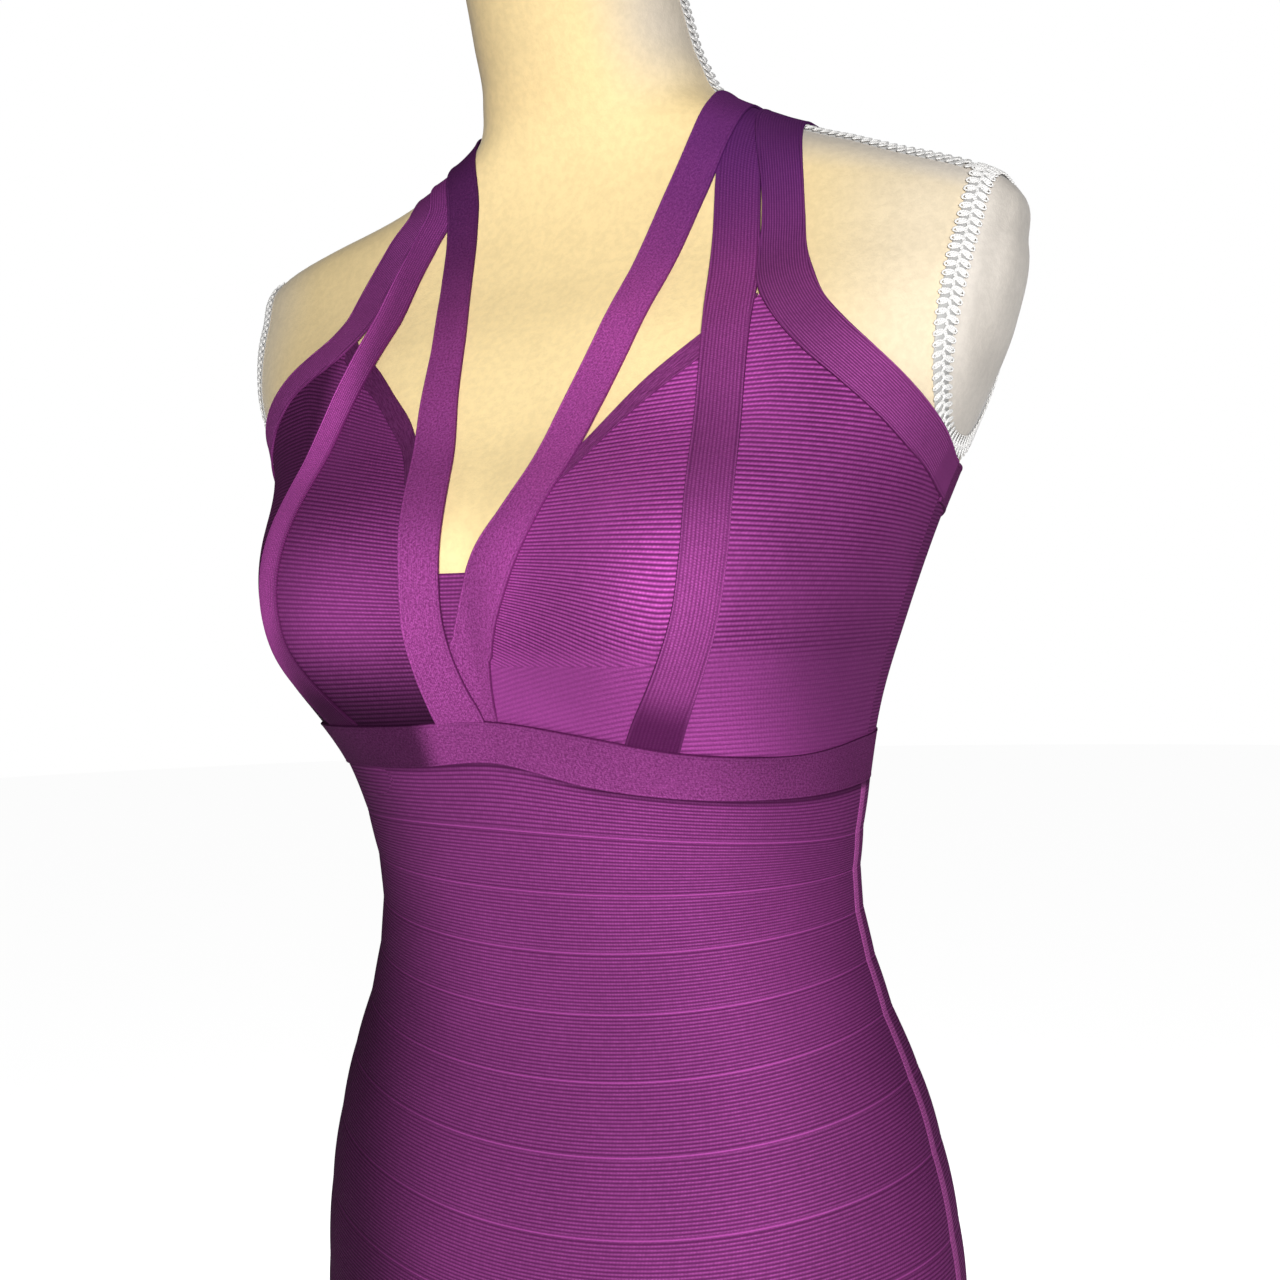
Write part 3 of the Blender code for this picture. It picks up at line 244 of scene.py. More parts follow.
MIDDLE_STRAP_RIGHT = (
    (-0.086, 0.021, 0.38, 0.018, BRAID, PANEL),
    (-0.085, 0.002, 0.382, 0.018, BRAID, PANEL),
    (-0.0785, -0.02, 0.372, 0.018, BRAID, PANEL),
    (-0.074, -0.0325, 0.352, 0.0172, BRAID, PANEL),
    (-0.0812, -0.0359, 0.3353, 0.0162, BRAID, PANEL),
    (-0.0865, -0.0422, 0.3192, 0.0168, BRAID, PANEL),
    (-0.0898, -0.0505, 0.3033, 0.0176, BRAID, PANEL),
    (-0.0918, -0.0598, 0.2878, 0.0186, BRAID, PANEL),
    (-0.0972, -0.0722, 0.2645, 0.018, PANEL, PANEL),
    (-0.1035, -0.082, 0.245, 0.0174, PANEL, PANEL),
    (-0.1077, -0.0904, 0.226, 0.0182, PANEL, PANEL),
    (-0.1095, -0.103, 0.208, 0.019, PANEL, PANEL),
    (-0.108, -0.118, 0.1914, 0.0192, PANEL, PANEL),
    (-0.105, -0.131, 0.176, 0.0195, PANEL, PANEL),
    (-0.103, -0.1404, 0.1562, 0.0195, PANEL, PANEL),
    (-0.1015, -0.1414, 0.14, 0.0195, PANEL, PANEL),
    (-0.099, -0.1385, 0.1264, 0.0195, PANEL, PANEL),
    (-0.0945, -0.1336, 0.115, 0.0198, PANEL, PANEL),
    (-0.0888, -0.1251, 0.1034, 0.0205, PANEL, PANEL),
    (-0.0825, -0.115, 0.09, 0.022, PANEL, PANEL),
    (-0.0735, -0.106, 0.071, 0.024, PANEL, PANEL),
)
ARMHOLE_BAND_LEFT = (
    (0.1055, 0.022, 0.371, 0.0235, SHOULDER, SHOULDER),
    (0.106, 0.003, 0.374, 0.0235, SHOULDER, SHOULDER),
    (0.1067, -0.0148, 0.3656, 0.0235, SHOULDER, SHOULDER),
    (0.1105, -0.0278, 0.3511, 0.0215, SHOULDER, SHOULDER),
    (0.1142, -0.0342, 0.3341, 0.02, SHOULDER, FOLD),
    (0.1175, -0.043, 0.3145, 0.02, SHOULDER, BRAID),
    (0.1196, -0.051, 0.2975, 0.0228, BRAID, BRAID),
    (0.1237, -0.0585, 0.2835, 0.0258, PANEL, BRAID),
    (0.133, -0.0655, 0.268, 0.024, PANEL, BRAID),
    (0.1432, -0.0673, 0.2557, 0.0232, PANEL, PANEL),
    (0.1558, -0.0649, 0.2427, 0.0222, PANEL, PANEL),
    (0.167, -0.0571, 0.2298, 0.022, PANEL, PANEL),
    (0.1735, -0.0446, 0.2185, 0.0222, PANEL, PANEL),
    (0.1765, -0.0277, 0.2095, 0.0206, PANEL, PANEL),
    (0.177, -0.0005, 0.1985, 0.019, PANEL, PANEL),
    (0.1768, 0.009, 0.1962, 0.019, PANEL, PANEL),
)
ARMHOLE_BAND_RIGHT = (
    (-0.097, 0.022, 0.375, 0.0205, FORM, FORM),
    (-0.0965, 0.003, 0.3765, 0.0205, FORM, FORM),
    (-0.089, -0.018, 0.369, 0.02, FORM, FORM),
    (-0.0893, -0.0308, 0.352, 0.019, FORM, FORM),
    (-0.0988, -0.0345, 0.3367, 0.0172, FORM, FORM),
    (-0.1052, -0.0404, 0.3208, 0.0178, FORM, FORM),
    (-0.1092, -0.0483, 0.3047, 0.0194, BRAID, BRAID),
    (-0.1128, -0.0565, 0.2892, 0.0215, PANEL, BRAID),
    (-0.1225, -0.0632, 0.2785, 0.021, PANEL, BRAID),
    (-0.135, -0.065, 0.2695, 0.0175, PANEL, PANEL),
    (-0.1468, -0.064, 0.262, 0.016, PANEL, PANEL),
    (-0.156, -0.0628, 0.254, 0.0165, PANEL, PANEL),
    (-0.164, -0.06, 0.245, 0.018, PANEL, PANEL),
    (-0.1725, -0.048, 0.229, 0.02, PANEL, PANEL),
) + mirrored(ARMHOLE_BAND_LEFT[13:])
BACK_STRAP_LEFT = (
    (0.093, 0.0225, 0.376, 0.044, BRAID, BRAID),
    (0.095, 0.05, 0.355, 0.043, BRAID, BRAID),
    (0.095, 0.075, 0.31, 0.04, FORM, FORM),
    (0.091, 0.092, 0.26, 0.037, FORM, FORM),
    (0.086, 0.094, 0.203, 0.035, BRAID, BRAID),
)
BACK_STRAP_RIGHT = mirrored(BACK_STRAP_LEFT)
STRAP_ROWS = {
    ("neckline_strap", "left"): NECKLINE_STRAP_LEFT, ("neckline_strap", "right"): NECKLINE_STRAP_RIGHT,
    ("middle_strap", "left"): MIDDLE_STRAP_LEFT, ("middle_strap", "right"): MIDDLE_STRAP_RIGHT,
    ("armhole_band", "left"): ARMHOLE_BAND_LEFT, ("armhole_band", "right"): ARMHOLE_BAND_RIGHT,
    ("back_strap", "left"): BACK_STRAP_LEFT, ("back_strap", "right"): BACK_STRAP_RIGHT,
}

# Braid: the ring of each armplate lies in a slanted plane, and a run goes down the neck and shoulder.
RING_OUT = {"left": 0.1812, "right": 0.185}
RING_AT = 0.205
RING_LEAN = 0.160
RING_MIDDLE = 0.270
RING_REACH = 0.080
SEAM_BRAID = {
    "left": (
        (0.056, -0.026, 0.474),
        (0.0555, -0.012, 0.44),
        (0.062, 0.002, 0.403),
        (0.076, 0.002, 0.384),
        (0.1, -0.005, 0.371),
        (0.13, -0.009, 0.356),
        (0.164, -0.013, 0.344),
        (0.1965, -0.01, 0.3355),
    ),
    "right": (
        (-0.056, -0.026, 0.474),
        (-0.0555, -0.012, 0.44),
        (-0.062, 0.004, 0.403),
        (-0.076, 0.012, 0.383),
        (-0.1, 0.014, 0.371),
        (-0.13, 0.012, 0.36),
        (-0.164, 0.01, 0.349),
        (-0.195, 0.008, 0.339),
    ),
}

# How far the shoulders ride up or sag, by the distance to the form's left, and over which heights.
RIDE_FOOT = 0.305
RIDE_RAMP = 0.045
RIDE_TOP = 0.405
RIDE_FADE = 0.050
SHOULDER_RIDE = np.array(
    ((-0.24, 0.0), (-0.15, -0.001), (-0.1, -0.003), (-0.07, -0.003), (-0.03, 0.0), (0.03, 0.002),
     (0.066, 0.0068), (0.087, 0.0066), (0.107, 0.005), (0.14, 0.0044), (0.162, 0.0024), (0.185, 0.001),
     (0.205, 0.0), (0.24, 0.0))
)


def curve(knots, values, at):
    """Cubic through the knots, with the slopes of the neighbouring spans weighed by their length."""
    knots, values, at = np.asarray(knots, float), np.asarray(values, float), np.asarray(at, float)
    widths = np.diff(knots)
    slopes = np.diff(values) / widths
    inner = (slopes[:-1] * widths[1:] + slopes[1:] * widths[:-1]) / (widths[:-1] + widths[1:])
    tangents = np.concatenate((slopes[:1], inner, slopes[-1:]))
    span = np.clip(np.searchsorted(knots, at) - 1, 0, len(knots) - 2)
    width = widths[span]
    t = np.clip((at - knots[span]) / width, 0.0, 1.0)
    start, end = values[span], values[span + 1]
    return (
        (1 + 2 * t) * (1 - t) ** 2 * start
        + t * (1 - t) ** 2 * width * tangents[span]
        + t * t * (3 - 2 * t) * end
        + t * t * (t - 1) * width * tangents[span + 1]
    )


def section(height):
    """The figure's section at a height over the waist, by column name."""
    columns = zip(SECTION_COLUMNS[1:], SECTIONS.T[1:])
    return {name: curve(SECTIONS[:, 0], column, height) for name, column in columns}


def bust_swell(across, height, depth_share):
    """How far the bust pushes a front point forward."""
    rise = np.where(height < BUST["height"], BUST["below"], BUST["above"])
    away = np.abs((np.abs(across) - BUST["across"]) / BUST["spread"]) ** 2.2
    away = away + np.abs((height - BUST["height"]) / rise) ** 2.2
    return BUST["swell"] * np.exp(-away) * np.sqrt(np.maximum(depth_share, 0.0))


def skin(angle, height):
    """Points of the bare figure."""
    angle, height = np.broadcast_arrays(np.asarray(angle, float), np.asarray(height, float))
    s = section(height)
    sine, cosine = np.sin(angle), np.cos(angle)
    n = s["square"]
    reach = (np.abs(sine) ** n + np.abs(cosine) ** n) ** (-1 / n)
    x = s["half_width"] * reach * sine
    share = reach * cosine
    depth = np.where(share > 0, s["front"], s["back"])
    return np.stack((x, s["centre"] - depth * share - bust_swell(x, height, share), height), -1)


def unit(vectors):
    return vectors / np.linalg.norm(vectors, axis=-1, keepdims=True)


def skin_normal(angle, height):
    step = 0.004
    round_way = skin(angle + step, height) - skin(angle - step, height)
    up_way = skin(angle, height + step / 4) - skin(angle, height - step / 4)
    return unit(np.cross(round_way, up_way))


def figure(angle, height, proud):
    """Points that stand proud of the figure, along its normal."""
    return skin(angle, height) + np.asarray(proud)[..., None] * skin_normal(angle, height)


def bearing(points):
    """Angles of the skin points beside the given points, at their heights."""
    s = section(points[..., 2])
    forward = s["centre"] - points[..., 1]
    across = np.minimum(np.abs(points[..., 0]) / s["half_width"], 1.0)
    share = (1 - across ** s["square"]) ** (1 / s["square"])
    swell = bust_swell(points[..., 0], points[..., 2], share)
    forward = np.where(forward > 0, np.maximum(forward - swell, 1e-4), forward)
    depth = np.where(forward > 0, s["front"], s["back"])
    return np.arctan2(points[..., 0] / s["half_width"], forward / depth)


def foot_of(points):
    """Nearest points of the skin, and the normals there."""
    angle, height = bearing(points), points[..., 2].copy()
    for _ in range(8):
        base = skin(angle, height)
        round_way = (skin(angle + 0.002, height) - skin(angle - 0.002, height)) / 0.004
        up_way = (skin(angle, height + 0.0005) - skin(angle, height - 0.0005)) / 0.001
        off = points - base
        a, b, c = (round_way**2).sum(-1), (round_way * up_way).sum(-1), (up_way**2).sum(-1)
        d, e = (off * round_way).sum(-1), (off * up_way).sum(-1)
        spread_out = a * c - b * b
        angle = angle + np.clip((c * d - b * e) / spread_out, -0.15, 0.15)
        height = height + np.clip((a * e - b * d) / spread_out, -0.01, 0.01)
    return skin(angle, height), skin_normal(angle, height)


def wrap(degrees):
    return (np.asarray(degrees, float) + 180.0) % 360.0 - 180.0


def band_edge(degrees, column):
    return curve(BAND[:, 0], BAND[:, column], wrap(degrees))


def band_middle(degrees):
    return (band_edge(degrees, 1) + band_edge(degrees, 2)) / 2


def seam_heights():
    """Heights of the bandage seams at the middle of the front, from the first one to the hem."""
    heights = [FIRST_SEAM]
    while True:
        hips = min(max(-heights[-1] / HIP_DROP, 0.0), 1.0)
        below = heights[-1] - STRIP_AT_WAIST - (STRIP_AT_HIPS - STRIP_AT_WAIST) * hips
        if below < HEM_HEIGHT + STRIP_AT_HIPS / 2:
            return heights + [HEM_HEIGHT]
        heights.append(below)


def seam_line(height, degrees):
    """A bandage seam rises to the side seams, and leans a little over the waist."""
    side = np.sin(np.radians(degrees))
    rise = curve(SEAM_RISE[:, 0], SEAM_RISE[:, 1], height)
    lean = SEAM_LEAN * min(max((height + 0.08) / 0.12, 0.0), 1.0)
    return height + rise * side * side - lean * side


def cup_inner_angle(side, height):
    rows = CUP_INNER_EDGE[side]
    return curve(rows[:, 0], rows[:, 1], np.clip(height, rows[0, 0], rows[-1, 0]))


def cup_top(side, degrees):
    """Upper edge of a cup, from its inner edge over the peak to the side seam."""
    rows = CUP_NECKLINE_EDGE[side]
    neckline = curve(rows[:, 0], rows[:, 1], degrees)
    armhole = curve(CUP_ARMHOLE_EDGE[:, 0], CUP_ARMHOLE_EDGE[:, 1], degrees)
    if side == "right":
        peak, beside = (
            rise * np.exp(-(((degrees - middle) / spread) ** 2))
            for rise, middle, spread in (PEAK_RISE, SHOULDER_RISE)
        )
        neckline = neckline + peak
        armhole = armhole + np.maximum(peak, beside)
    return np.where(degrees < CUP_PEAK_ANGLE, neckline, armhole)


def cup_rib_level(side, degrees, height):
    """The height over the waist at which a cup's rib would be level, and the same for its dart's ribs."""
    before = np.clip((RIB_FOLD_ANGLE - degrees) / INNER_SPAN, 0.0, 1.3) ** 1.3
    after = np.clip((degrees - RIB_FOLD_ANGLE) / SIDE_SPAN, 0.0, 1.0) * SIDE_REACH
    fall, slope = (
        curve(table[:, 0], table[:, 1], np.clip(height, table[0, 0], table[-1, 0]))
        for table in (INNER_DROP[side], SIDE_SLOPE)
    )
    level = height - after * slope
    return RIB_SPACING * (level - before * fall), RIB_SPACING * (level - before * DART_DROP)


def smoothstep(x):
    x = np.clip(x, 0.0, 1.0)
    return x * x * (3 - 2 * x)


# ---------------------------------------------------------------- settings
class DressSizes(bpy.types.PropertyGroup):
    wall: FloatProperty(
        name="Knit thickness", description="Thickness of the knit",
        default=0.0011, unit="LENGTH", precision=5,
    )
    rib_pitch: FloatProperty(
        name="Rib pitch", description="Distance from rib to rib",
        default=0.00175, unit="LENGTH", precision=5,
    )
    stitch: FloatProperty(
        name="Stitch length", description="Length of a stitch along a rib",
        default=0.0016, unit="LENGTH", precision=5,
    )
    rib_depth: FloatProperty(
        name="Rib depth", description="Depth of the grooves between ribs",
        default=0.00040, unit="LENGTH", precision=5,
    )
    seam_plain: FloatProperty(
        name="Plain strip", description="Half width of the plain knit at a bandage seam",
        default=0.0010, unit="LENGTH", precision=5,
    )
    seam_ridge: FloatProperty(
        name="Seam ridge", description="How far the thread of a bandage seam stands up",
        default=0.0001, unit="LENGTH", precision=5,
    )
    strip_bulge: FloatProperty(
        name="Strip bulge", description="How far a bandage strip bulges between its seams",
        default=0.0005, unit="LENGTH", precision=5,
    )
    piping_width: FloatProperty(
        name="Edge seam", description="Width of the raised double seam along a strap's edge",
        default=0.0014, unit="LENGTH", precision=5,
    )
    piping_height: FloatProperty(
        name="Edge rise", description="How far that seam stands up",
        default=0.00012, unit="LENGTH", precision=5,
    )


class DressColours(bpy.types.PropertyGroup):
    rib: FloatVectorProperty(
        name="Rib", description="Crown of a rib",
        default=(0.430, 0.080, 0.362), subtype="COLOR", min=0, max=1,
    )
    # Painted shade: the dark between the ribs stands for the shade in their grooves, and the other painted
    # shade on the knit darkens to this colour.
    groove_shade: FloatVectorProperty(
        name="Groove", description="Between the ribs",
        default=(0.100, 0.011, 0.082), subtype="COLOR", min=0, max=1,
    )
    crest_shade: FloatVectorProperty(
        name="Shoulder", description="Knit in the shade over the shoulder",
        default=(0.100, 0.020, 0.150), subtype="COLOR", min=0, max=1,
    )
    strap: FloatVectorProperty(
        name="Strap", description="Fine knit of the straps",
        default=(0.430, 0.090, 0.366), subtype="COLOR", min=0, max=1,
    )
    strap_dark: FloatVectorProperty(
        name="Strap shade", description="Between the stitches of a strap",
        default=(0.220, 0.031, 0.175), subtype="COLOR", min=0, max=1,
    )
    # Painted highlight, partly the plain knit's own lighter tone: the bright pink of the strip behind the side
    # seams.
    piping: FloatVectorProperty(
        name="Side seam", description="Plain knit beside the side seams",
        default=(0.95, 0.22, 0.75), subtype="COLOR", min=0, max=1,
    )
    jersey: FloatVectorProperty(
        name="Jersey", description="Cover of the form",
        default=(0.94, 0.73, 0.375), subtype="COLOR", min=0, max=1,
    )
    plate: FloatVectorProperty(
        name="Armplate", description="Cover of the armplates",
        default=(0.70, 0.645, 0.58), subtype="COLOR", min=0, max=1,
    )
    braid: FloatVectorProperty(
        name="Braid", description="Gimp braid", default=(0.86, 0.85, 0.835), subtype="COLOR", min=0, max=1
    )
    metal: FloatVectorProperty(
        name="Stand", description="Painted metal", default=(0.75, 0.74, 0.72), subtype="COLOR", min=0, max=1
    )


class StageSettings(bpy.types.PropertyGroup):
    floor: FloatVectorProperty(
        name="Floor", description="Colour of the floor",
        default=(0.86, 0.86, 0.86), subtype="COLOR", min=0, max=1,
    )
    lift: FloatProperty(
        name="Floor lift", description="Brightening of the floor as the camera sees it", default=0.92
    )
    key: FloatProperty(name="Key light", description="Power of the front light", default=60.0, unit="POWER")
    fill: FloatProperty(
        name="Side light", description="Power of the light from the left", default=1.0, unit="POWER"
    )
    back: FloatProperty(
        name="Back light", description="Power of the light from behind", default=26.0, unit="POWER"
    )
    sky: FloatProperty(name="Surroundings", description="Strength of the even light", default=0.06)
    figure_columns: IntProperty(name="Columns", description="Facets round the form", default=256)


# ---------------------------------------------------------------- meshes
def standing(points):
    """Points over the floor, with the left shoulder a little higher than the right one."""
    points = np.array(points, float)
    rising = smoothstep((points[:, 2] - RIDE_FOOT) / RIDE_RAMP)
    share = rising * (1.0 - smoothstep((points[:, 2] - RIDE_TOP) / RIDE_FADE))
    points[:, 2] += share * np.interp(points[:, 0], SHOULDER_RIDE[:, 0], SHOULDER_RIDE[:, 1]) + WAIST_HEIGHT
    return points


def enclosed(points, faces):
    """Signed volume of a closed mesh."""
    total = 0.0
    groups = {}
    for face in faces:
        groups.setdefault(len(face), []).append(face)
    for size, group in groups.items():
        corners = points[np.array(group)]
        for k in range(1, size - 1):
            total += np.einsum("ij,ij->i", corners[:, 0], np.cross(corners[:, k], corners[:, k + 1])).sum()
    return total / 6


def add_piece(name, points, faces, material, maps, crease=50.0):
    """Closed object from points measured from the waist; maps holds a UV pair per face corner, by map name."""
    points = standing(points)
    flip = enclosed(points, faces) < 0
    if flip:
        faces = [tuple(reversed(face)) for face in faces]
    mesh = bpy.data.meshes.new(name)
    mesh.from_pydata(points.tolist(), [], faces)
    for label, pairs in maps.items():
        if flip:
            pairs = [tuple(reversed(pair)) for pair in pairs]
        layer = mesh.uv_layers.new(name=label)
        layer.data.foreach_set("uv", np.array([uv for pair in pairs for uv in pair], np.float32).ravel())
    mesh.materials.append(material)
    mesh.shade_smooth()
    mesh.set_sharp_from_angle(angle=math.radians(crease))
    mesh.update()
    piece = bpy.data.objects.new(name, mesh)
    bpy.context.scene.collection.objects.link(piece)
    return piece


def add_cloth(name, outer, inner, cloth, edge, material, wrapped=False, inner_rows=None, **more_maps):
    """Closed wall between two grids of points.

    cloth, edge and the other maps hold a UV pair for each point of the outer grid, with one more column
    where the grid is wrapped round. inner_rows says which outer rows the rows of the inner grid match.
    """
    rows, across = outer.shape[:2]
    inner_rows = list(range(rows)) if inner_rows is None else inner_rows
    points = np.concatenate((outer.reshape(-1, 3), inner.reshape(-1, 3)))
    shift = rows * across
    sources = {"cloth": cloth, "edge": edge, **more_maps}
    faces, maps = [], {label: [] for label in sources}

    def add(corners, places):
        faces.append(corners)
        for label, source in sources.items():
            maps[label].append(tuple(source[r, c] for r, c in places))

    cells = across if wrapped else across - 1
    for c in range(cells):
        n = (c + 1) % across
        for r in range(rows - 1):
            low, high = r * across, (r + 1) * across
            add((low + c, low + n, high + n, high + c), ((r, c), (r, c + 1), (r + 1, c + 1), (r + 1, c)))
        for k in range(len(inner_rows) - 1):
            low, high = shift + k * across, shift + (k + 1) * across
            r, s = inner_rows[k], inner_rows[k + 1]
            add((low + c, high + c, high + n, low + n), ((r, c), (s, c), (s, c + 1), (r, c + 1)))
        add((n, c, shift + c, shift + n), ((0, c + 1), (0, c), (0, c), (0, c + 1)))
        top, under = (rows - 1) * across, shift + (len(inner_rows) - 1) * across
        r = rows - 1
        add((top + c, top + n, under + n, under + c), ((r, c), (r, c + 1), (r, c + 1), (r, c)))
    if not wrapped:
        last = across - 1
        for r in range(rows - 1):
            low, high = r * across, (r + 1) * across
            add(
                (low, high, shift + high, shift + low),
                ((r, 0), (r + 1, 0), (r + 1, 0), (r, 0)),
            )
            add(
                (high + last, low + last, shift + low + last, shift + high + last),
                ((r + 1, last), (r, last), (r, last), (r + 1, last)),
            )
    piece = add_piece(name, points, faces, material, maps)
    piece["worn_area"] = grid_area(np.concatenate((outer, outer[:, :1]), 1) if wrapped else outer)
    return piece


def grid_area(grid):
    """Area of a grid of points."""
    a, b, c, d = grid[:-1, :-1], grid[:-1, 1:], grid[1:, 1:], grid[1:, :-1]
    first = np.linalg.norm(np.cross(b - a, c - a), axis=-1).sum()
    second = np.linalg.norm(np.cross(c - a, d - a), axis=-1).sum()
    return float(first + second) / 2


def reach_along(points):
    """Distance of each point along its line."""
    steps = np.linalg.norm(np.diff(points, axis=0), axis=1)
    return np.concatenate(((0.0,), np.cumsum(steps)))


def once_round(values):
    """Values round the figure, with the first one again at the end."""
    return np.concatenate((values, values[:1]))


def show_instead(piece, *nodes):
    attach(piece, "root")
    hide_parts(*nodes)
    return piece


# ---------------------------------------------------------------- materials
RAYON = 0.65
KNIT_GLOSS = 0.15
WHITE = (1.0, 1.0, 1.0, 1.0)
EDGE_LINE = 0.0006
CREST_REACH = 0.150
PATCH_FOOT = 0.0235
FELT = {"Column": 0.0009, "Stitch": 0.0012, "Lint": 0.72}
COLUMNS = {"Column": 0.0016, "Stitch": 0.00115, "Lint": 0.18}
PLAIN_KNIT = {"Column": 0.0008, "Stitch": 0.0011, "Lint": 0.6}


def feed(tree, socket, value):
    """Link a socket from another one, or set it to a value."""
    if isinstance(value, bpy.types.NodeSocket):
        tree.links.new(value, socket)
    elif socket.type == "RGBA":
        socket.default_value = tuple(value) + (1.0,) * (4 - len(value))
    else:
        socket.default_value = value


def add_node(tree, kind, feeds=None, **settings):
    """Node whose inputs are set to values or linked from sockets."""
    made = tree.nodes.new(kind)
    for name, value in settings.items():
        setattr(made, name, value)
    for key, value in (feeds or {}).items():
        feed(tree, made.inputs[key], value)
    return made


def maths(tree, operation, *values, clamp=False):
    feeds = dict(enumerate(values))
    return add_node(tree, "ShaderNodeMath", feeds, operation=operation, use_clamp=clamp).outputs[0]


def remap(tree, value, low, high, start=0.0, end=1.0, smooth=True):
    kind = "SMOOTHSTEP" if smooth else "LINEAR"
    feeds = {"Value": value, "From Min": low, "From Max": high, "To Min": start, "To Max": end}
    return add_node(tree, "ShaderNodeMapRange", feeds, interpolation_type=kind).outputs["Result"]


def mix_colour(tree, factor, first, second, blend="MIX"):
    feeds = {0: factor, 6: first, 7: second}
    return add_node(tree, "ShaderNodeMix", feeds, data_type="RGBA", blend_type=blend).outputs[2]


def mix_value(tree, factor, first, second):
    return add_node(tree, "ShaderNodeMix", {0: factor, 2: first, 3: second}, data_type="FLOAT").outputs[0]


def toned(tree, colour, tone):
    """A colour times a tone that changes over the surface."""
    grey = add_node(tree, "ShaderNodeCombineColor", {0: tone, 1: tone, 2: tone}).outputs[0]
    return mix_colour(tree, 1.0, colour, grey, "MULTIPLY")


def scaled(colour, share):
    return tuple(min(1.0, share * value) for value in colour)


def noise(tree, vector, scale, detail, roughness, dimensions="3D"):
    feeds = {"Vector": vector, "Scale": scale, "Detail": detail, "Roughness": roughness}
    return add_node(tree, "ShaderNodeTexNoise", feeds, noise_dimensions=dimensions).outputs["Fac"]


def drift(tree, place, scale):
    """Slow change of tone over the cloth."""
    return remap(tree, noise(tree, place, scale, 3.0, 0.55), 0.3, 0.7, 0.90, 1.08)


def wave(tree, turns):
    """Goes from 1 down to 0 and back once a turn."""
    cosine = maths(tree, "COSINE", maths(tree, "MULTIPLY", turns, 2 * math.pi))
    return maths(tree, "MULTIPLY_ADD", cosine, 0.5, 0.5)


def axes_of(tree, vector):
    return add_node(tree, "ShaderNodeSeparateXYZ", {0: vector}).outputs


def map_axes(tree, name):
    return axes_of(tree, add_node(tree, "ShaderNodeUVMap", uv_map=name).outputs[0])


def object_place(tree):
    return add_node(tree, "ShaderNodeTexCoord").outputs["Object"]


def new_group(name, inputs, outputs):
    """Empty shader group with float sockets; returns its tree, input node and output node."""
    tree = bpy.data.node_groups.new(name, "ShaderNodeTree")
    for label, default in inputs:
        made = tree.interface.new_socket(label, in_out="INPUT", socket_type="NodeSocketFloat")
        made.default_value = default
    for label in outputs:
        tree.interface.new_socket(label, in_out="OUTPUT", socket_type="NodeSocketFloat")
    return tree, tree.nodes.new("NodeGroupInput"), tree.nodes.new("NodeGroupOutput")


def use_group(tree, name, feeds):
    return add_node(tree, "ShaderNodeGroup", feeds, node_tree=bpy.data.node_groups[name]).outputs


def make_rib_group():
    """Ribs of stitches: the coordinates count ribs and stitches."""
    tree, start, end = new_group("rib knit", (("Ribs", 0.0), ("Stitches", 0.0)), ("Height", "Thread"))
    ribs, stitches = start.outputs["Ribs"], start.outputs["Stitches"]
    number = maths(tree, "ROUND", ribs)
    odd = maths(tree, "FRACT", maths(tree, "MULTIPLY", number, 0.618))
    bead = wave(tree, maths(tree, "ADD", stitches, maths(tree, "MULTIPLY", odd, 3.0)))
    spot = {"X": maths(tree, "MULTIPLY", stitches, 0.55), "Y": maths(tree, "MULTIPLY", number, 3.7)}
    place = add_node(tree, "ShaderNodeCombineXYZ", spot).outputs[0]
    streak = remap(tree, noise(tree, place, 1.0, 1.0, 0.5, "2D"), 0.30, 0.70)
    bare = maths(tree, "POWER", wave(tree, ribs), 0.8)
    height = maths(tree, "MULTIPLY", bare, maths(tree, "MULTIPLY_ADD", bead, 0.25, 0.75))
    thread = maths(tree, "MULTIPLY", bare, maths(tree, "MULTIPLY_ADD", bead, 0.20, 0.80))
    thread = maths(tree, "MULTIPLY", thread, maths(tree, "MULTIPLY_ADD", streak, 0.22, 0.82))
    feed(tree, end.inputs["Height"], height)
    feed(tree, end.inputs["Thread"], thread)


def make_stitch_group():
    """Fine flat knit: columns of small stitches, softened by lint. Coordinates are in metres."""
    sockets = (("Along", 0.0), ("Across", 0.0), ("Column", 0.001), ("Stitch", 0.0012), ("Lint", 0.5))
    tree, start, end = new_group("flat knit", sockets, ("Height", "Thread"))
    put = start.outputs
    column = maths(tree, "DIVIDE", put["Across"], put["Column"])
    stitch = maths(tree, "DIVIDE", put["Along"], put["Stitch"])
    odd = maths(tree, "MODULO", maths(tree, "ROUND", column), 2.0)
    bead = wave(tree, maths(tree, "ADD", stitch, maths(tree, "MULTIPLY", odd, 0.5)))
    wale = maths(tree, "POWER", wave(tree, column), 0.7)
    knit = maths(tree, "MULTIPLY", wale, maths(tree, "MULTIPLY_ADD", bead, 0.55, 0.45))
    place = add_node(tree, "ShaderNodeCombineXYZ", {"X": put["Along"], "Y": put["Across"]}).outputs[0]
    fluff = remap(tree, noise(tree, place, 900.0, 2.0, 0.6, "2D"), 0.25, 0.75)
    height = mix_value(tree, put["Lint"], knit, fluff)
    for label in ("Height", "Thread"):
        feed(tree, end.inputs[label], height)


def make_seam_group():
    """Masks by the distance from a seam, in metres: its thread line, and the plain knit beside it."""
    sockets = (("Distance", 1.0), ("Line", 0.0005), ("Plain", 0.002))
    tree, start, end = new_group("seam", sockets, ("Line", "Plain"))
    put = start.outputs
    line = maths(tree, "SUBTRACT", 1.0, maths(tree, "DIVIDE", put["Distance"], put["Line"]), clamp=True)
    plain = remap(tree, maths(tree, "DIVIDE", put["Distance"], put["Plain"]), 0.75, 1.15, 1.0, 0.0)
    feed(tree, end.inputs["Line"], line)
    feed(tree, end.inputs["Plain"], plain)


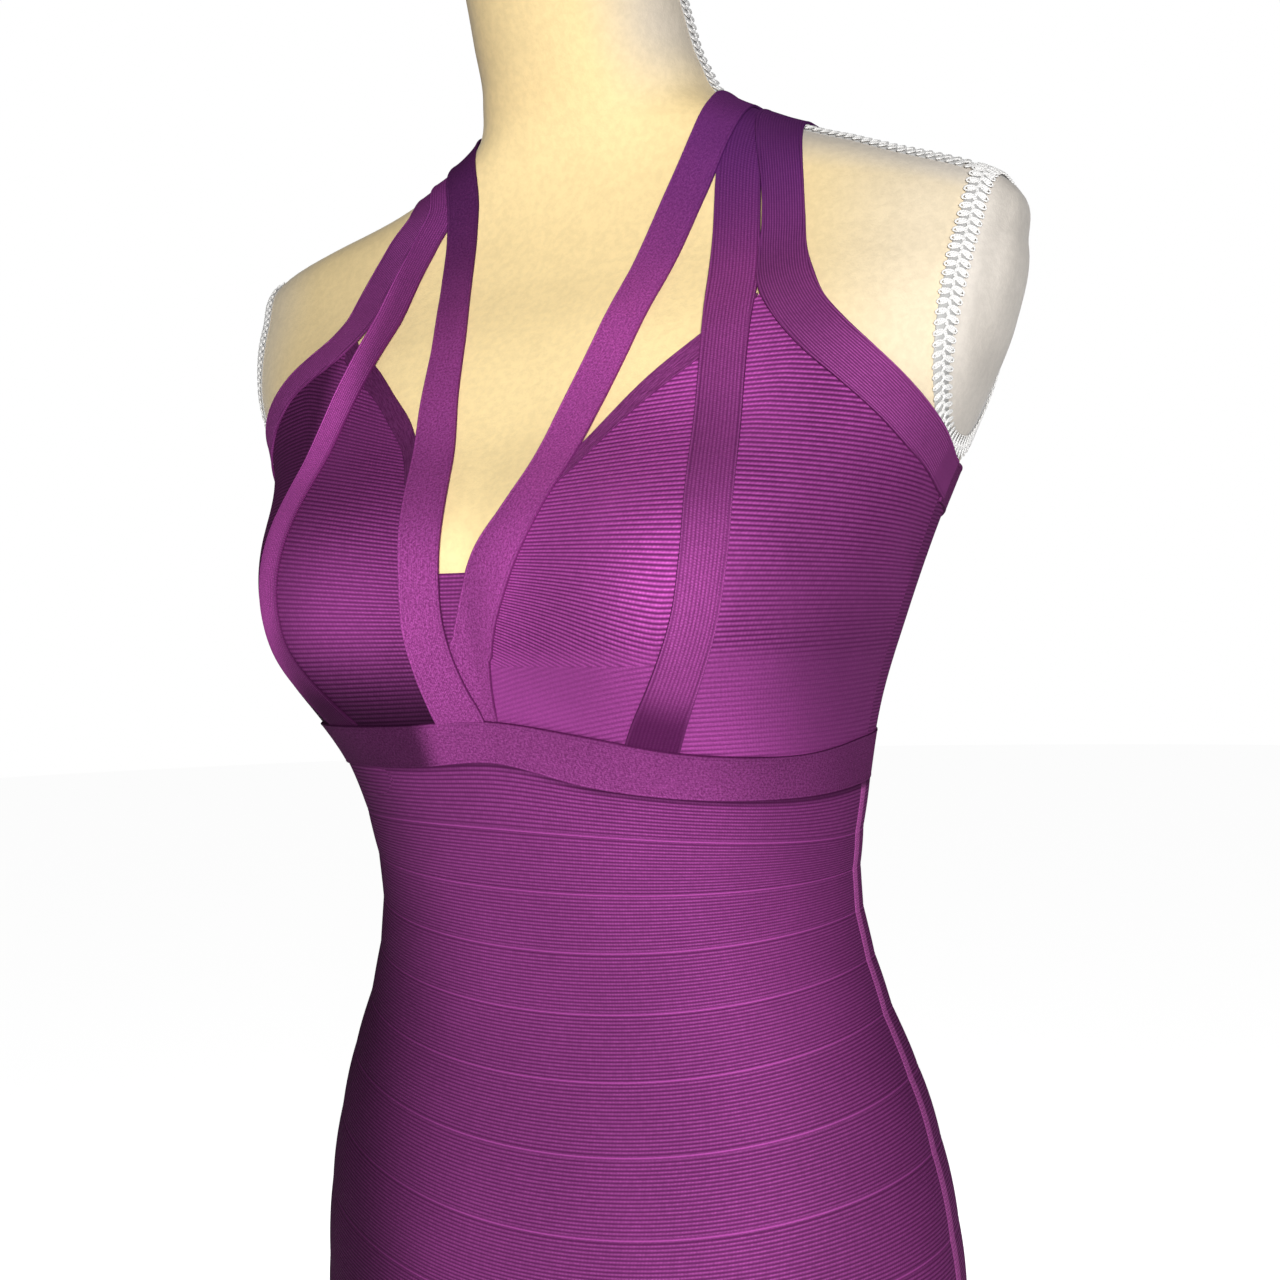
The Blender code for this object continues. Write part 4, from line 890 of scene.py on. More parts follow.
def new_material(name, gloss=0.5, **sockets):
    """Material with values set on its shader's own sockets; gloss is the specular level."""
    made = bpy.data.materials.new(name)
    made.use_nodes = True
    shader = made.node_tree.nodes["Principled BSDF"]
    shader.inputs["Specular IOR Level"].default_value = gloss
    for key, value in sockets.items():
        shader.inputs[key.replace("_", " ").title()].default_value = value
    return made, made.node_tree, shader


def finish_surface(tree, shader, colour, height, depth, shine=None):
    """Link colour and bump; shine is a mask with the roughness where it is 0 and where it is 1."""
    feed(tree, shader.inputs["Base Color"], colour)
    if shine is not None:
        mask, rough, smooth = shine
        feed(tree, shader.inputs["Roughness"], remap(tree, mask, 0.0, 1.0, rough, smooth, False))
    bump = add_node(tree, "ShaderNodeBump", {"Height": height, "Distance": depth, "Strength": 1.0})
    feed(tree, shader.inputs["Normal"], bump.outputs["Normal"])


def paint_light_and_shade(tree, colour, steps):
    """Painted light and shade: multiply a colour by tones that change over stretches of an axis, on the front.

    An axis of R is the height, on the form's right only.
    """
    axes = axes_of(tree, object_place(tree))
    front = remap(tree, axes["Y"], 0.015, 0.060, 1.0, 0.0)
    right = maths(tree, "MULTIPLY", front, maths(tree, "LESS_THAN", axes["X"], 0.0))
    for axis, start, end, low, high in steps:
        tone = remap(tree, axes["Z" if axis == "R" else axis], start, end, low, high)
        colour = toned(tree, colour, mix_value(tree, right if axis == "R" else front, 1.0, tone))
    return colour


def shade_crest(tree, colour, amount, far_share, reach=CREST_REACH):
    """Painted shade: darken a strap where it comes over the shoulder, less so on the form's right."""
    crest_shade = remap(tree, map_axes(tree, "run")["X"], 0.060, reach, amount, 0.0)
    across = axes_of(tree, object_place(tree))["X"]
    share = maths(tree, "MULTIPLY", crest_shade, remap(tree, across, -0.05, 0.05, far_share, 1.0))
    return mix_colour(tree, share, colour, bpy.context.scene.dress_colours.crest_shade)


def make_rib_material(name, *steps):
    """Ribbed knit with its bandage seams, side seams, darts and lint; painted shade lies between the ribs and
    under the band, a painted highlight on the plain knit behind the side seams, and steps paint light and
    shade by place.
    """
    sizes, colours = bpy.context.scene.dress_sizes, bpy.context.scene.dress_colours
    made, tree, shader = new_material(name, KNIT_GLOSS, roughness=0.7, metallic=RAYON)
    cloth, edge, dart = (map_axes(tree, label) for label in ("cloth", "edge", "dart"))
    under = maths(tree, "GREATER_THAN", dart["Y"], 0.0)
    ribs = maths(tree, "DIVIDE", mix_value(tree, under, cloth["Y"], dart["X"]), sizes.rib_pitch)
    stitches = maths(tree, "DIVIDE", cloth["X"], sizes.stitch)
    knit = use_group(tree, "rib knit", {"Ribs": ribs, "Stitches": stitches})
    flat = use_group(tree, "flat knit", {"Along": cloth["X"], "Across": cloth["Y"], **PLAIN_KNIT})
    seam = use_group(tree, "seam", {"Distance": edge["X"], "Line": 0.00045, "Plain": sizes.seam_plain})
    side = use_group(tree, "seam", {"Distance": edge["Y"], "Line": 0.0005, "Plain": 0.0012})
    plain = maths(tree, "MAXIMUM", seam["Plain"], side["Plain"])
    line = maths(tree, "MAXIMUM", seam["Line"], side["Line"])
    soft = maths(tree, "MULTIPLY_ADD", flat["Thread"], 0.30, 0.36)
    place = object_place(tree)
    worn = remap(tree, noise(tree, place, 16.0, 2.0, 0.5), 0.38, 0.66, 0.08, 0.42)
    worn = maths(tree, "MAXIMUM", worn, remap(tree, dart["Y"], -0.012, 0.002, 0.0, 0.80))
    on_cup = maths(tree, "GREATER_THAN", maths(tree, "ABSOLUTE", dart["Y"]), 0.0001)
    worn = maths(tree, "MULTIPLY", worn, mix_value(tree, on_cup, 0.4, 1.0))
    thread = mix_value(tree, worn, knit["Thread"], maths(tree, "ADD", soft, 0.12))
    thread = mix_value(tree, plain, thread, soft)
    # Painted shade between the ribs: the thread mask runs from the shade in the grooves up to the rib's crown.
    colour = toned(tree, mix_colour(tree, thread, colours.groove_shade, colours.rib), drift(tree, place, 9.0))
    beside = maths(tree, "ABSOLUTE", maths(tree, "SUBTRACT", edge["X"], 0.0010))
    dark_line = use_group(tree, "seam", {"Distance": beside, "Line": 0.0006, "Plain": 0.0006})["Line"]
    colour = mix_colour(tree, maths(tree, "MULTIPLY", dark_line, 0.40), colour, colours.groove_shade)
    colour = mix_colour(tree, maths(tree, "MULTIPLY", line, 0.75), colour, scaled(colours.rib, 1.35))
    # Painted highlight, partly the plain knit's own lighter tone: the strip just behind each side seam turns
    # bright pink.
    behind = maths(tree, "GREATER_THAN", axes_of(tree, place)["Y"], 0.0)
    strip = maths(tree, "MULTIPLY", remap(tree, edge["Y"], 0.0085, 0.0120, 1.0, 0.0), behind)
    half = maths(tree, "MULTIPLY_ADD", flat["Thread"], 0.5, 0.5)
    pale = mix_colour(tree, half, colours.rib, colours.piping)
    colour = mix_colour(tree, maths(tree, "MULTIPLY", strip, 0.70), colour, pale)
    # Painted shadow on the skirt just under the band's lower edge, from the distance below it; nothing on the
    # cups.
    band_shadow = remap(tree, dart["X"], 0.0004, 0.0042, 1.0, 0.0)
    band_shadow = maths(tree, "MULTIPLY", band_shadow, maths(tree, "GREATER_THAN", dart["X"], 0.00001))
    band_shadow = maths(tree, "MULTIPLY", band_shadow, maths(tree, "SUBTRACT", 0.80, on_cup, clamp=True))
    colour = mix_colour(tree, band_shadow, colour, scaled(colours.groove_shade, 0.5))
    colour = paint_light_and_shade(tree, colour, steps)
    height = mix_value(tree, plain, knit["Height"], maths(tree, "MULTIPLY_ADD", flat["Height"], 0.25, 0.55))
    finish_surface(tree, shader, colour, height, sizes.rib_depth, (thread, 0.86, 0.66))
    return made


def edge_masks(tree, groove_line):
    """Masks along a strap's edges: the groove inside the edge seam, the line at the very edge and the seam's
    band; the groove and the edge line carry painted shade.
    """
    piping, edge = bpy.context.scene.dress_sizes.piping_width, map_axes(tree, "edge")
    nearest = maths(tree, "MINIMUM", edge["X"], edge["Y"])
    inward = maths(tree, "ABSOLUTE", maths(tree, "SUBTRACT", nearest, piping))
    groove_shade = use_group(tree, "seam", {"Distance": inward, "Line": groove_line, "Plain": 0.0007})["Line"]
    rim = use_group(tree, "seam", {"Distance": nearest, "Line": EDGE_LINE, "Plain": piping})
    return groove_shade, rim["Line"], rim["Plain"]


def paint_edges(tree, colour, bright, masks, shares):
    """Lighten the edge seam and darken the lines on both sides of it, each by its share: painted shade in the
    groove inside the seam and a painted shadow line at the very edge.
    """
    dark = bpy.context.scene.dress_colours.groove_shade
    groove_shade, line, band = masks
    for mask, share, paint in zip((band, groove_shade, line), shares, (bright, dark, dark)):
        colour = mix_colour(tree, maths(tree, "MULTIPLY", mask, share), colour, paint)
    return colour


def make_strap_material(
    name, knit, depth, rim_share, groove_share, tone, foot=0.0, crest_shade=0.0, reach=CREST_REACH, steps=()
):
    """Fine knit of straps and bands, with a seam along both edges; painted shade darkens a strap's foot and
    its crest over the shoulder, and steps paint light and shade by place.
    """
    colours = bpy.context.scene.dress_colours
    made, tree, shader = new_material(name, KNIT_GLOSS, roughness=0.7, metallic=RAYON)
    cloth = map_axes(tree, "cloth")
    knitted = use_group(tree, "flat knit", {"Along": cloth["X"], "Across": cloth["Y"], **knit})
    masks = edge_masks(tree, 0.0007)
    pale = scaled(colours.strap, tone)
    colour = mix_colour(tree, knitted["Thread"], scaled(colours.strap_dark, tone), pale)
    place = object_place(tree)
    grain = remap(tree, noise(tree, place, 1600.0, 1.0, 0.5), 0.3, 0.7, 0.86, 1.16)
    colour = toned(tree, colour, maths(tree, "MULTIPLY", drift(tree, place, 14.0), grain))
    # Painted shade at the strap's foot, over its last few centimetres.
    if foot > 0:
        shaded = remap(tree, map_axes(tree, "run")["Y"], 0.016, 0.042, foot, 0.0)
        colour = mix_colour(tree, shaded, colour, colours.groove_shade)
    colour = paint_edges(tree, colour, scaled(pale, 1.25), masks, (rim_share, groove_share, 0.85))
    colour = paint_light_and_shade(tree, colour, steps)
    if crest_shade > 0:
        colour = shade_crest(tree, colour, crest_shade, 0.45, reach)
    height = maths(tree, "MULTIPLY_ADD", masks[0], -1.5 * groove_share, knitted["Height"])
    finish_surface(tree, shader, colour, height, depth, (knitted["Thread"], 0.86, 0.70))
    return made


def make_armhole_material():
    """Lengthwise ribs that follow the armhole band, and a felted patch at its foot."""
    colours = bpy.context.scene.dress_colours
    made, tree, shader = new_material("lengthwise rib", KNIT_GLOSS, roughness=0.7, metallic=RAYON)
    cloth = map_axes(tree, "cloth")
    ribs = maths(tree, "DIVIDE", cloth["Y"], 0.00118)
    stitches = maths(tree, "DIVIDE", cloth["X"], 0.0012)
    knit = use_group(tree, "rib knit", {"Ribs": ribs, "Stitches": stitches})
    masks = edge_masks(tree, EDGE_LINE)
    patch = remap(tree, map_axes(tree, "run")["Y"], PATCH_FOOT, PATCH_FOOT + 0.003, 1.0, 0.0)
    place = object_place(tree)
    fluff = noise(tree, place, 1300.0, 2.0, 0.6)
    ribbed = maths(tree, "MULTIPLY_ADD", knit["Thread"], 0.75, 0.25)
    thread = mix_value(tree, patch, ribbed, maths(tree, "MULTIPLY_ADD", fluff, 0.25, 0.32))
    colour = toned(tree, mix_colour(tree, thread, colours.groove_shade, colours.strap), drift(tree, place, 12.0))
    colour = paint_edges(tree, colour, scaled(colours.strap, 1.15), masks, (0.12, 0.30, 0.7))
    colour = shade_crest(tree, colour, 0.75, 0.35)
    height = maths(tree, "MULTIPLY_ADD", masks[0], -0.6, knit["Height"])
    height = mix_value(tree, patch, height, maths(tree, "MULTIPLY_ADD", fluff, 0.3, 0.4))
    finish_surface(tree, shader, colour, height, 0.0003, (thread, 0.86, 0.68))
    return made


def make_jersey_material():
    """Cream jersey over the form, greyer on the armplates, with the mottling of a padded cover; painted shade
    darkens the neck, the form's right, the side towards the near armplate and a crease on the armplate, and
    painted highlight pales the near shoulder and neck.
    """
    colours = bpy.context.scene.dress_colours
    made, tree, shader = new_material(
        "cream jersey", 0.2, roughness=0.85, sheen_weight=0.15, sheen_roughness=0.5
    )
    place, cover = object_place(tree), map_axes(tree, "cover")
    # Grey beyond the armplates' planes is their own cover; the pale patches that the cover map adds on the
    # near shoulder and neck are painted highlight.
    beyond = maths(tree, "MAXIMUM", remap(tree, cover["X"], -0.0005, 0.0005), cover["Y"])
    mottle_and_shade = remap(tree, noise(tree, place, 11.0, 3.0, 0.5), 0.3, 0.7, 0.95, 1.03)
    axes = axes_of(tree, place)
    # Painted shade: darker up the neck, on the form's right and towards the near armplate.
    for axis, start, end, low, high in (
        ("Z", 1.300, 1.380, 1.0, 0.90), ("Z", 1.385, 1.455, 1.0, 0.88),
        ("X", -0.140, -0.050, 0.84, 1.0), ("X", 0.080, 0.140, 1.0, 0.92),
    ):
        mottle_and_shade = maths(tree, "MULTIPLY", mottle_and_shade, remap(tree, axes[axis], start, end, low, high))
    # Painted shade in a crease on the armplate.
    crease = maths(tree, "ABSOLUTE", maths(tree, "SUBTRACT", cover["X"], 0.0105))
    mottle_and_shade = maths(tree, "MULTIPLY", mottle_and_shade, remap(tree, crease, 0.0005, 0.0045, 0.90, 1.0))
    weave = noise(tree, place, 900.0, 2.0, 0.6)
    pile = noise(tree, place, 260.0, 3.0, 0.65)
    colour = toned(tree, mix_colour(tree, beyond, colours.jersey, colours.plate), mottle_and_shade)
    colour = toned(tree, colour, remap(tree, pile, 0.3, 0.7, 0.94, 1.03))
    finish_surface(tree, shader, colour, maths(tree, "MULTIPLY_ADD", weave, 0.4, pile), 0.00025)
    return made


def make_braid_material():
    """Twisted shiny cord of the gimp braid, with painted shade in the dips of its twist and on the tape under
    the cords.
    """
    braid = bpy.context.scene.dress_colours.braid
    made, tree, shader = new_material("gimp braid", 0.4, roughness=0.5, sheen_weight=0.2, sheen_roughness=0.4)
    cord = map_axes(tree, "cord")
    ply = wave(tree, maths(tree, "ADD", maths(tree, "DIVIDE", cord["X"], 0.0011), cord["Y"]))
    # Painted shade in the dips of the twist.
    colour = mix_colour(tree, ply, scaled(braid, 0.80), braid)
    # Painted shade: the tape under the cords is darker than they are.
    colour = mix_colour(tree, maths(tree, "LESS_THAN", cord["X"], -0.5), colour, scaled(braid, 0.46))
    finish_surface(tree, shader, colour, ply, 0.00015, (ply, 0.7, 0.42))
    return made


def make_metal_material():
    """Satin paint on the pole and the base, with faint orange peel and rubbed patches."""
    metal = bpy.context.scene.dress_colours.metal
    made, tree, shader = new_material("painted metal", roughness=0.38, coat_weight=0.2, coat_roughness=0.3)
    place = object_place(tree)
    rubbed = remap(tree, noise(tree, place, 6.0, 4.0, 0.6), 0.35, 0.7)
    colour = mix_colour(tree, rubbed, scaled(metal, 0.93), metal)
    finish_surface(tree, shader, colour, noise(tree, place, 420.0, 2.0, 0.5), 0.00006, (rubbed, 0.46, 0.34))
    return made


# Materials by key, and those made so far.
MATERIALS = {}
# Each step paints light or shade by place: a material turns darker where the light falls off, as on the far
# side and low on the far cup, and lighter where it strikes; the two cups' materials differ only by such
# painted light and shade.
MATERIAL_MAKERS = {
    "rib": lambda: make_rib_material(
        "ribbed knit", ("X", -0.125, -0.030, 0.28, 1.0), ("X", 0.090, 0.160, 1.0, 0.72)
    ),
    "cup_left": lambda: make_rib_material(
        "ribbed cup knit", ("X", 0.090, 0.150, 1.75, 1.0), ("Z", 1.145, 1.190, 0.78, 1.0)
    ),
    "cup_right": lambda: make_rib_material(
        "ribbed far knit", ("X", -0.124, -0.108, 0.42, 1.0), ("Z", 1.118, 1.172, 0.16, 1.0)
    ),
    "felt": lambda: make_strap_material(
        "felted knit", FELT, 0.00020, 0.10, 0.15, 1.10, crest_shade=0.8, reach=0.190,
        steps=(("X", -0.005, 0.030, 1.0, 1.5), ("R", 1.295, 1.385, 1.0, 0.30)),
    ),
    "band": lambda: make_strap_material(
        "felted band", FELT, 0.00020, 0.10, 0.15, 0.95,
        steps=(("X", -0.042, -0.027, 0.30, 1.0), ("X", 0.070, 0.140, 1.0, 0.60)),
    ),
    # Painted shade: a darker copy of the felt, for the binding on the form's right.
    "binding": lambda: make_strap_material("felted edge in shade", FELT, 0.00020, 0.0, 0.0, 0.50),
    "column": lambda: make_strap_material(
        "column knit", COLUMNS, 0.00030, 0.12, 0.30, 1.00, foot=0.85, crest_shade=0.8,
        steps=(("X", -0.106, -0.088, 1.85, 1.0), ("R", 1.130, 1.175, 0.45, 1.0)),
    ),
    "armhole": make_armhole_material,
    "jersey": make_jersey_material,
    "braid": make_braid_material,
    "metal": make_metal_material,
}


def material(key):
    """Materials are made once, when a piece first asks for them."""
    if "rib knit" not in bpy.data.node_groups:
        make_rib_group()
        make_stitch_group()
        make_seam_group()
    if key not in MATERIALS:
        MATERIALS[key] = MATERIAL_MAKERS[key]()
    return MATERIALS[key]


# ---------------------------------------------------------------- straps
STRAP_STEP = 0.0022
END_REACH = 0.012
BAND_LAP = 0.0022
BACK_BAND_LAP = 0.002
SIDE_SEAM_LAP = 0.0045


def strap_profile(sizes, width):
    """Distances across a strap from its near edge, and how much its face rises there."""
    pipe, rise = sizes.piping_width, sizes.piping_height
    near = np.array((0.0, 0.12, 0.4, 0.75, 1.0, 1.35)) * pipe
    lift = np.array((-0.75 * sizes.wall, 0.15 * rise, rise, 0.55 * rise, -0.55 * rise, 0.0))
    middle = np.linspace(1.35 * pipe, width - 1.35 * pipe, 12)[1:-1]
    crown = 0.25 * rise * np.sin(np.pi * (middle - middle[0]) / (middle[-1] - middle[0]))
    return np.concatenate((near, middle, width - near[::-1])), np.concatenate((lift, crown, lift[::-1]))


def path_along(rows, step):
    """Evenly spaced places along a smooth line through a strap's rows: x, y, z, width, near and far lift."""
    table = np.array(rows, float)
    table[:, 4:] = LAYER_HEIGHTS[table[:, 4:].astype(int)]
    reach = reach_along(table[:, :3])
    wanted = np.linspace(0.0, reach[-1], max(6, round(reach[-1] / step)) + 1)
    columns = [curve(reach, table[:, k], wanted) for k in range(4)]
    columns += [np.interp(wanted, reach, table[:, k]) for k in (4, 5)]
    return np.stack(columns, -1)


def add_strap(name, rows, material_key, trim, sink=None):
    """Strap seated on the figure along its rows.

    trim gives the height left over the seam where it ends, and sink the lift it comes down to there.
    """
    sizes = bpy.context.scene.dress_sizes
    samples = path_along(rows, STRAP_STEP)
    side = 1.0 if samples[0, 0] > 0 else -1.0
    feet, normals = foot_of(samples[:, :3])
    ahead = np.empty_like(feet)
    ahead[1:-1] = feet[2:] - feet[:-2]
    ahead[0], ahead[-1] = feet[1] - feet[0], feet[-1] - feet[-2]
    aside = side * unit(np.cross(normals, ahead))
    widths = samples[:, 3]
    spots, lifts = (np.array(part) for part in zip(*(strap_profile(sizes, width) for width in widths)))
    offset = spots - widths[:, None] / 2
    places = feet[:, None, :] + aside[:, None, :] * offset[..., None]
    keep = (trim(places).max(1) > 0).sum()
    last = min(keep, len(places) - 1)
    places, spots, lifts, samples, widths = (a[: last + 1] for a in (places, spots, lifts, samples, widths))
    start, end = places[-2], places[-1]
    inside, outside = trim(start), trim(end)
    share = np.clip(inside / np.maximum(inside - outside, 1e-9), 0.02, 1.6)
    places[-1] = start + (end - start) * share[:, None]
    bases, outward = foot_of(places)
    share = spots / widths[:, None]
    seat = samples[:, 4][:, None] * (1 - share) + samples[:, 5][:, None] * share
    along = reach_along(bases[:, 9])
    if sink is not None:
        sunk = smoothstep(1.0 - (along[-1] - along) / END_REACH)[:, None]
        seat = seat * (1 - sunk) + sink * sunk
    inner = bases + outward * seat[..., None]
    outer = bases + outward * (seat + sizes.wall + lifts)[..., None]
    cloth = np.stack((np.broadcast_to(along[:, None], spots.shape), offset[: len(spots)]), -1)
    edge = np.stack((spots, widths[:, None] - spots), -1)
    run = np.broadcast_to(np.stack((along, along[-1] - along), -1)[:, None, :], cloth.shape)
    piece = add_cloth(name, outer, inner, cloth, edge, material(material_key), run=run)
    piece["worn_length"] = float(along[-1])
    piece["worn_width"] = float(widths.mean())
    return piece


def over_band(points):
    return points[..., 2] - band_edge(np.degrees(bearing(points)), 2) + BAND_LAP


def back_band_edge(degrees, column):
    return curve(BACK_BAND[:, 0], BACK_BAND[:, column], np.abs(wrap(degrees)))


def over_back_band(points):
    return points[..., 2] - back_band_edge(np.degrees(bearing(points)), 2) + BACK_BAND_LAP


def before_side_seam(points):
    return section(points[..., 2])["centre"] - points[..., 1] + SIDE_SEAM_LAP


# ---------------------------------------------------------------- the form
FORM_EDGE = 0.010
COVER_FOOT = 0.040


def form_rows():
    """Heights of the form's rings: close together where the cover shows."""
    hidden = np.arange(FORM_BOTTOM + FORM_EDGE, COVER_FOOT, 0.014)
    shown = np.arange(COVER_FOOT, NECK_TOP - FORM_EDGE, 0.0028)
    return np.concatenate((hidden, shown, (NECK_TOP - FORM_EDGE,)))


def form_rings(angles):
    """Rings of the form from its underside to the neck's top, with one point at either end."""
    heights = form_rows()
    foot, top = heights[0], heights[-1]
    plan = [(foot, 0.0, FORM_BOTTOM), (foot, 0.5, FORM_BOTTOM), (foot, 0.92, FORM_BOTTOM)]
    plan += [(foot, 0.975, FORM_BOTTOM + 0.0025)] + [(height, 1.0, height) for height in heights]
    plan += [(top, 0.985, NECK_TOP - 0.005), (top, 0.95, NECK_TOP - 0.0018), (top, 0.89, NECK_TOP)]
    plan += [(top, 0.5, NECK_TOP), (top, 0.0, NECK_TOP)]
    rings = []
    for height, scale, level in plan:
        ring = skin(angles, height)
        middle = np.array((0.0, float(section(height)["centre"]), level))
        ring[:, 2] = level
        rings.append(middle + (ring - middle) * scale)
    rings[0], rings[-1] = rings[0][:1], rings[-1][:1]
    return rings


def ring_out(side, height):
    return RING_OUT[side] + RING_LEAN * (height - RING_AT)


def cover_marks(ring):
    """Distance of points beyond the armplates' planes, and how much of the armplates' grey the cover takes
    there.
    """
    x, z = ring[:, 0], ring[:, 2]
    beyond = np.abs(x) - np.where(x > 0, ring_out("left", z), ring_out("right", z))
    # Painted highlight: the paler, greyer cover on the near shoulder and the near side of the neck is the
    # whitish look of the lit cover; the patches on the shoulder's top and towards the far armplate only make
    # the cover greyer there.
    shoulder = smoothstep((x - 0.110) / 0.075) * 0.55
    neck = smoothstep((x - 0.020) / 0.035) * smoothstep((z - 0.37) / 0.05) * 0.8
    ridge = 0.371 - 0.378 * (np.abs(x) - 0.10)
    top = smoothstep((z - ridge + 0.030) / 0.030) * smoothstep((x - 0.08) / 0.03)
    top *= smoothstep((0.40 - z) / 0.02)
    far = smoothstep((-x - 0.15) / 0.05) * 0.5
    return np.stack((beyond, np.maximum.reduce((shoulder, neck, top, far))), -1)


def add_form():
    columns = bpy.context.scene.stage_settings.figure_columns
    rings = form_rings(np.linspace(0.0, 2 * np.pi, columns, endpoint=False))
    starts = np.concatenate(((0,), np.cumsum([len(ring) for ring in rings])))
    marks = [cover_marks(ring) for ring in rings]
    faces, pairs = [], []
    for r in range(len(rings) - 1):
        for c in range(columns):
            n = (c + 1) % columns
            spots = []
            for row, k in ((r, c), (r, n), (r + 1, n), (r + 1, c)):
                k = k % len(rings[row])
                if (row, k) not in spots:
                    spots.append((row, k))
            faces.append(tuple(int(starts[row] + k) for row, k in spots))
            pairs.append(tuple(tuple(marks[row][k].tolist()) for row, k in spots))
    piece = add_piece("jersey_form", np.concatenate(rings), faces, material("jersey"), {"cover": pairs})
    return show_instead(piece, "form_torso")


# ---------------------------------------------------------------- braid
BRAID_HALF = 0.0057
BRAID_PITCH = 0.0044
CORD_RADIUS = 0.00048
CORD_FLATNESS = 0.85
LOOP = 0.0021
INNER_LOOP = 0.0014
CROSSING = 0.0007
CHEVRON = 0.35
CORD_STEPS = 18
CORD_SIDES = 5
BASE_THICKNESS = 0.0007
TAPE_SHARE = 0.8
TAPE_STEP = 0.004
LOOK_AHEAD = 0.003
# Braid is left out this near to the middle of a band or strap, and under the arm behind this depth.
UNDER_BAND = 0.0085
UNDER_STRAP = 0.0105
ARMPIT_DEPTH = -0.004
ARMPIT_TOP = 0.2085
# The tape's outline: share of its half width, and share of its thickness.
TAPE_OUTLINE = ((1, 0.0002), (1, 0.5), (0.92, 1), (0, 1.15), (-0.92, 1), (-1, 0.5), (-1, 0.0002))


def tube(rings, shown, closed, reach, around):
    """Faces of a tube through rings of points, capped where it stops, and the UV pairs of their corners.

    reach and around hold one more value than there are rings and sides.
    """
    count, sides = rings.shape[:2]
    faces, pairs = [], []
    for i in range(count if closed else count - 1):
        j = (i + 1) % count
        if not (shown[i] and shown[j]):
            continue
        low, high = i * sides, j * sides
        start, end = float(reach[i]), float(reach[i + 1])
        for k in range(sides):
            m = (k + 1) % sides
            first, second = float(around[k]), float(around[k + 1])
            faces.append((low + k, low + m, high + m, high + k))
            pairs.append(((start, first), (start, second), (end, second), (end, first)))
    for i in np.flatnonzero(shown).tolist():
        for step in (-1, 1):
            beside = (i + step) % count if closed else i + step
            if not 0 <= beside < count or not shown[beside]:
                faces.append(tuple(range(i * sides, (i + 1) * sides))[::step])
                pairs.append(((float(reach[i]), 0.0),) * sides)
    return faces, pairs


def add_braid(name, rows, closed, node, hidden):
    """Two pairs of cords on a flat tape: each pair loops along one edge and crosses the other midway."""
    table = np.asarray(rows, float)
    if closed:
        table = once_round(table)
    reach = reach_along(table)
    whole = reach[-1]

    def held(places):
        return np.mod(places, whole) if closed else np.clip(places, 0.0, whole)

    def at(places):
        return np.stack([np.interp(places, reach, column) for column in table.T], -1)

    def forward_of(line):
        return np.roll(line, -1, 0) - np.roll(line, 1, 0) if closed else np.gradient(line, axis=0)

    repeats = int(round(whole / BRAID_PITCH))
    turn = np.linspace(0.0, 2 * np.pi * repeats, repeats * CORD_STEPS, endpoint=False)
    angles = 2 * np.pi * np.arange(CORD_SIDES)[:, None, None] / CORD_SIDES
    tubes = []
    for sign, shrink in ((1.0, 0.0), (-1.0, 0.0), (1.0, INNER_LOOP), (-1.0, INNER_LOOP)):
        far = BRAID_HALF - shrink
        across = sign * (far + CROSSING) * (0.5 - 0.5 * np.cos(turn)) - sign * CROSSING
        along = whole * turn / (2 * np.pi * repeats) - CHEVRON * np.abs(across)
        along = along + (LOOP - 0.75 * shrink) * np.sin(turn)
        if sign < 0:
            along = along + BRAID_PITCH / 2
        lift = BASE_THICKNESS + 0.0004 + 0.0005 * smoothstep(0.5 + 0.5 * np.sin(turn))
        places = held(along)
        foot, normal = foot_of(at(places))
        aside = unit(np.cross(normal, at(held(places + LOOK_AHEAD)) - at(held(places - LOOK_AHEAD))))
        spots, outward = foot_of(foot + aside * across[:, None])
        line = spots + outward * lift[:, None]
        forward = unit(forward_of(line))
        left = unit(np.cross(outward, forward))
        up = np.cross(forward, left)
        rings = line + CORD_RADIUS * (np.cos(angles) * left + CORD_FLATNESS * np.sin(angles) * up)
        around = np.arange(CORD_SIDES + 1) / CORD_SIDES
        tubes.append((rings.swapaxes(0, 1), foot, reach_along(once_round(line)), around))
    steps = int(whole / TAPE_STEP)
    centre, normal = foot_of(at(np.linspace(0.0, whole, steps, endpoint=False)))
    aside = unit(np.cross(normal, forward_of(centre)))
    sides = []
    for share, lift in TAPE_OUTLINE:
        spots, outward = foot_of(centre + aside * (TAPE_SHARE * BRAID_HALF * share))
        sides.append(spots + outward * (lift * BASE_THICKNESS))
    tubes.append((np.stack(sides, 1), centre, np.full(steps + 1, -1.0), np.zeros(len(sides) + 1)))
    points, faces, pairs = [], [], []
    total = 0
    for rings, foot, length, around in tubes:
        made, marks = tube(rings, ~hidden(foot), closed, length, around)
        faces += [tuple(total + corner for corner in face) for face in made]
        pairs += marks
        points.append(rings.reshape(-1, 3))
        total += len(points[-1])
    used = np.unique([v for face in faces for v in face])
    renumber = {int(old): new for new, old in enumerate(used)}
    faces = [tuple(renumber[v] for v in face) for face in faces]
    points = np.concatenate(points)[used]
    piece = add_piece(name, points, faces, material("braid"), {"cord": pairs}, crease=80.0)
    return show_instead(piece, node)


def ring_end(side, outside):
    """Height at which the plane of the ring leaves the figure."""
    inside = RING_MIDDLE
    for _ in range(40):
        middle = (inside + outside) / 2
        if float(section(middle)["half_width"]) > ring_out(side, middle):
            inside = middle
        else:
            outside = middle
    return inside


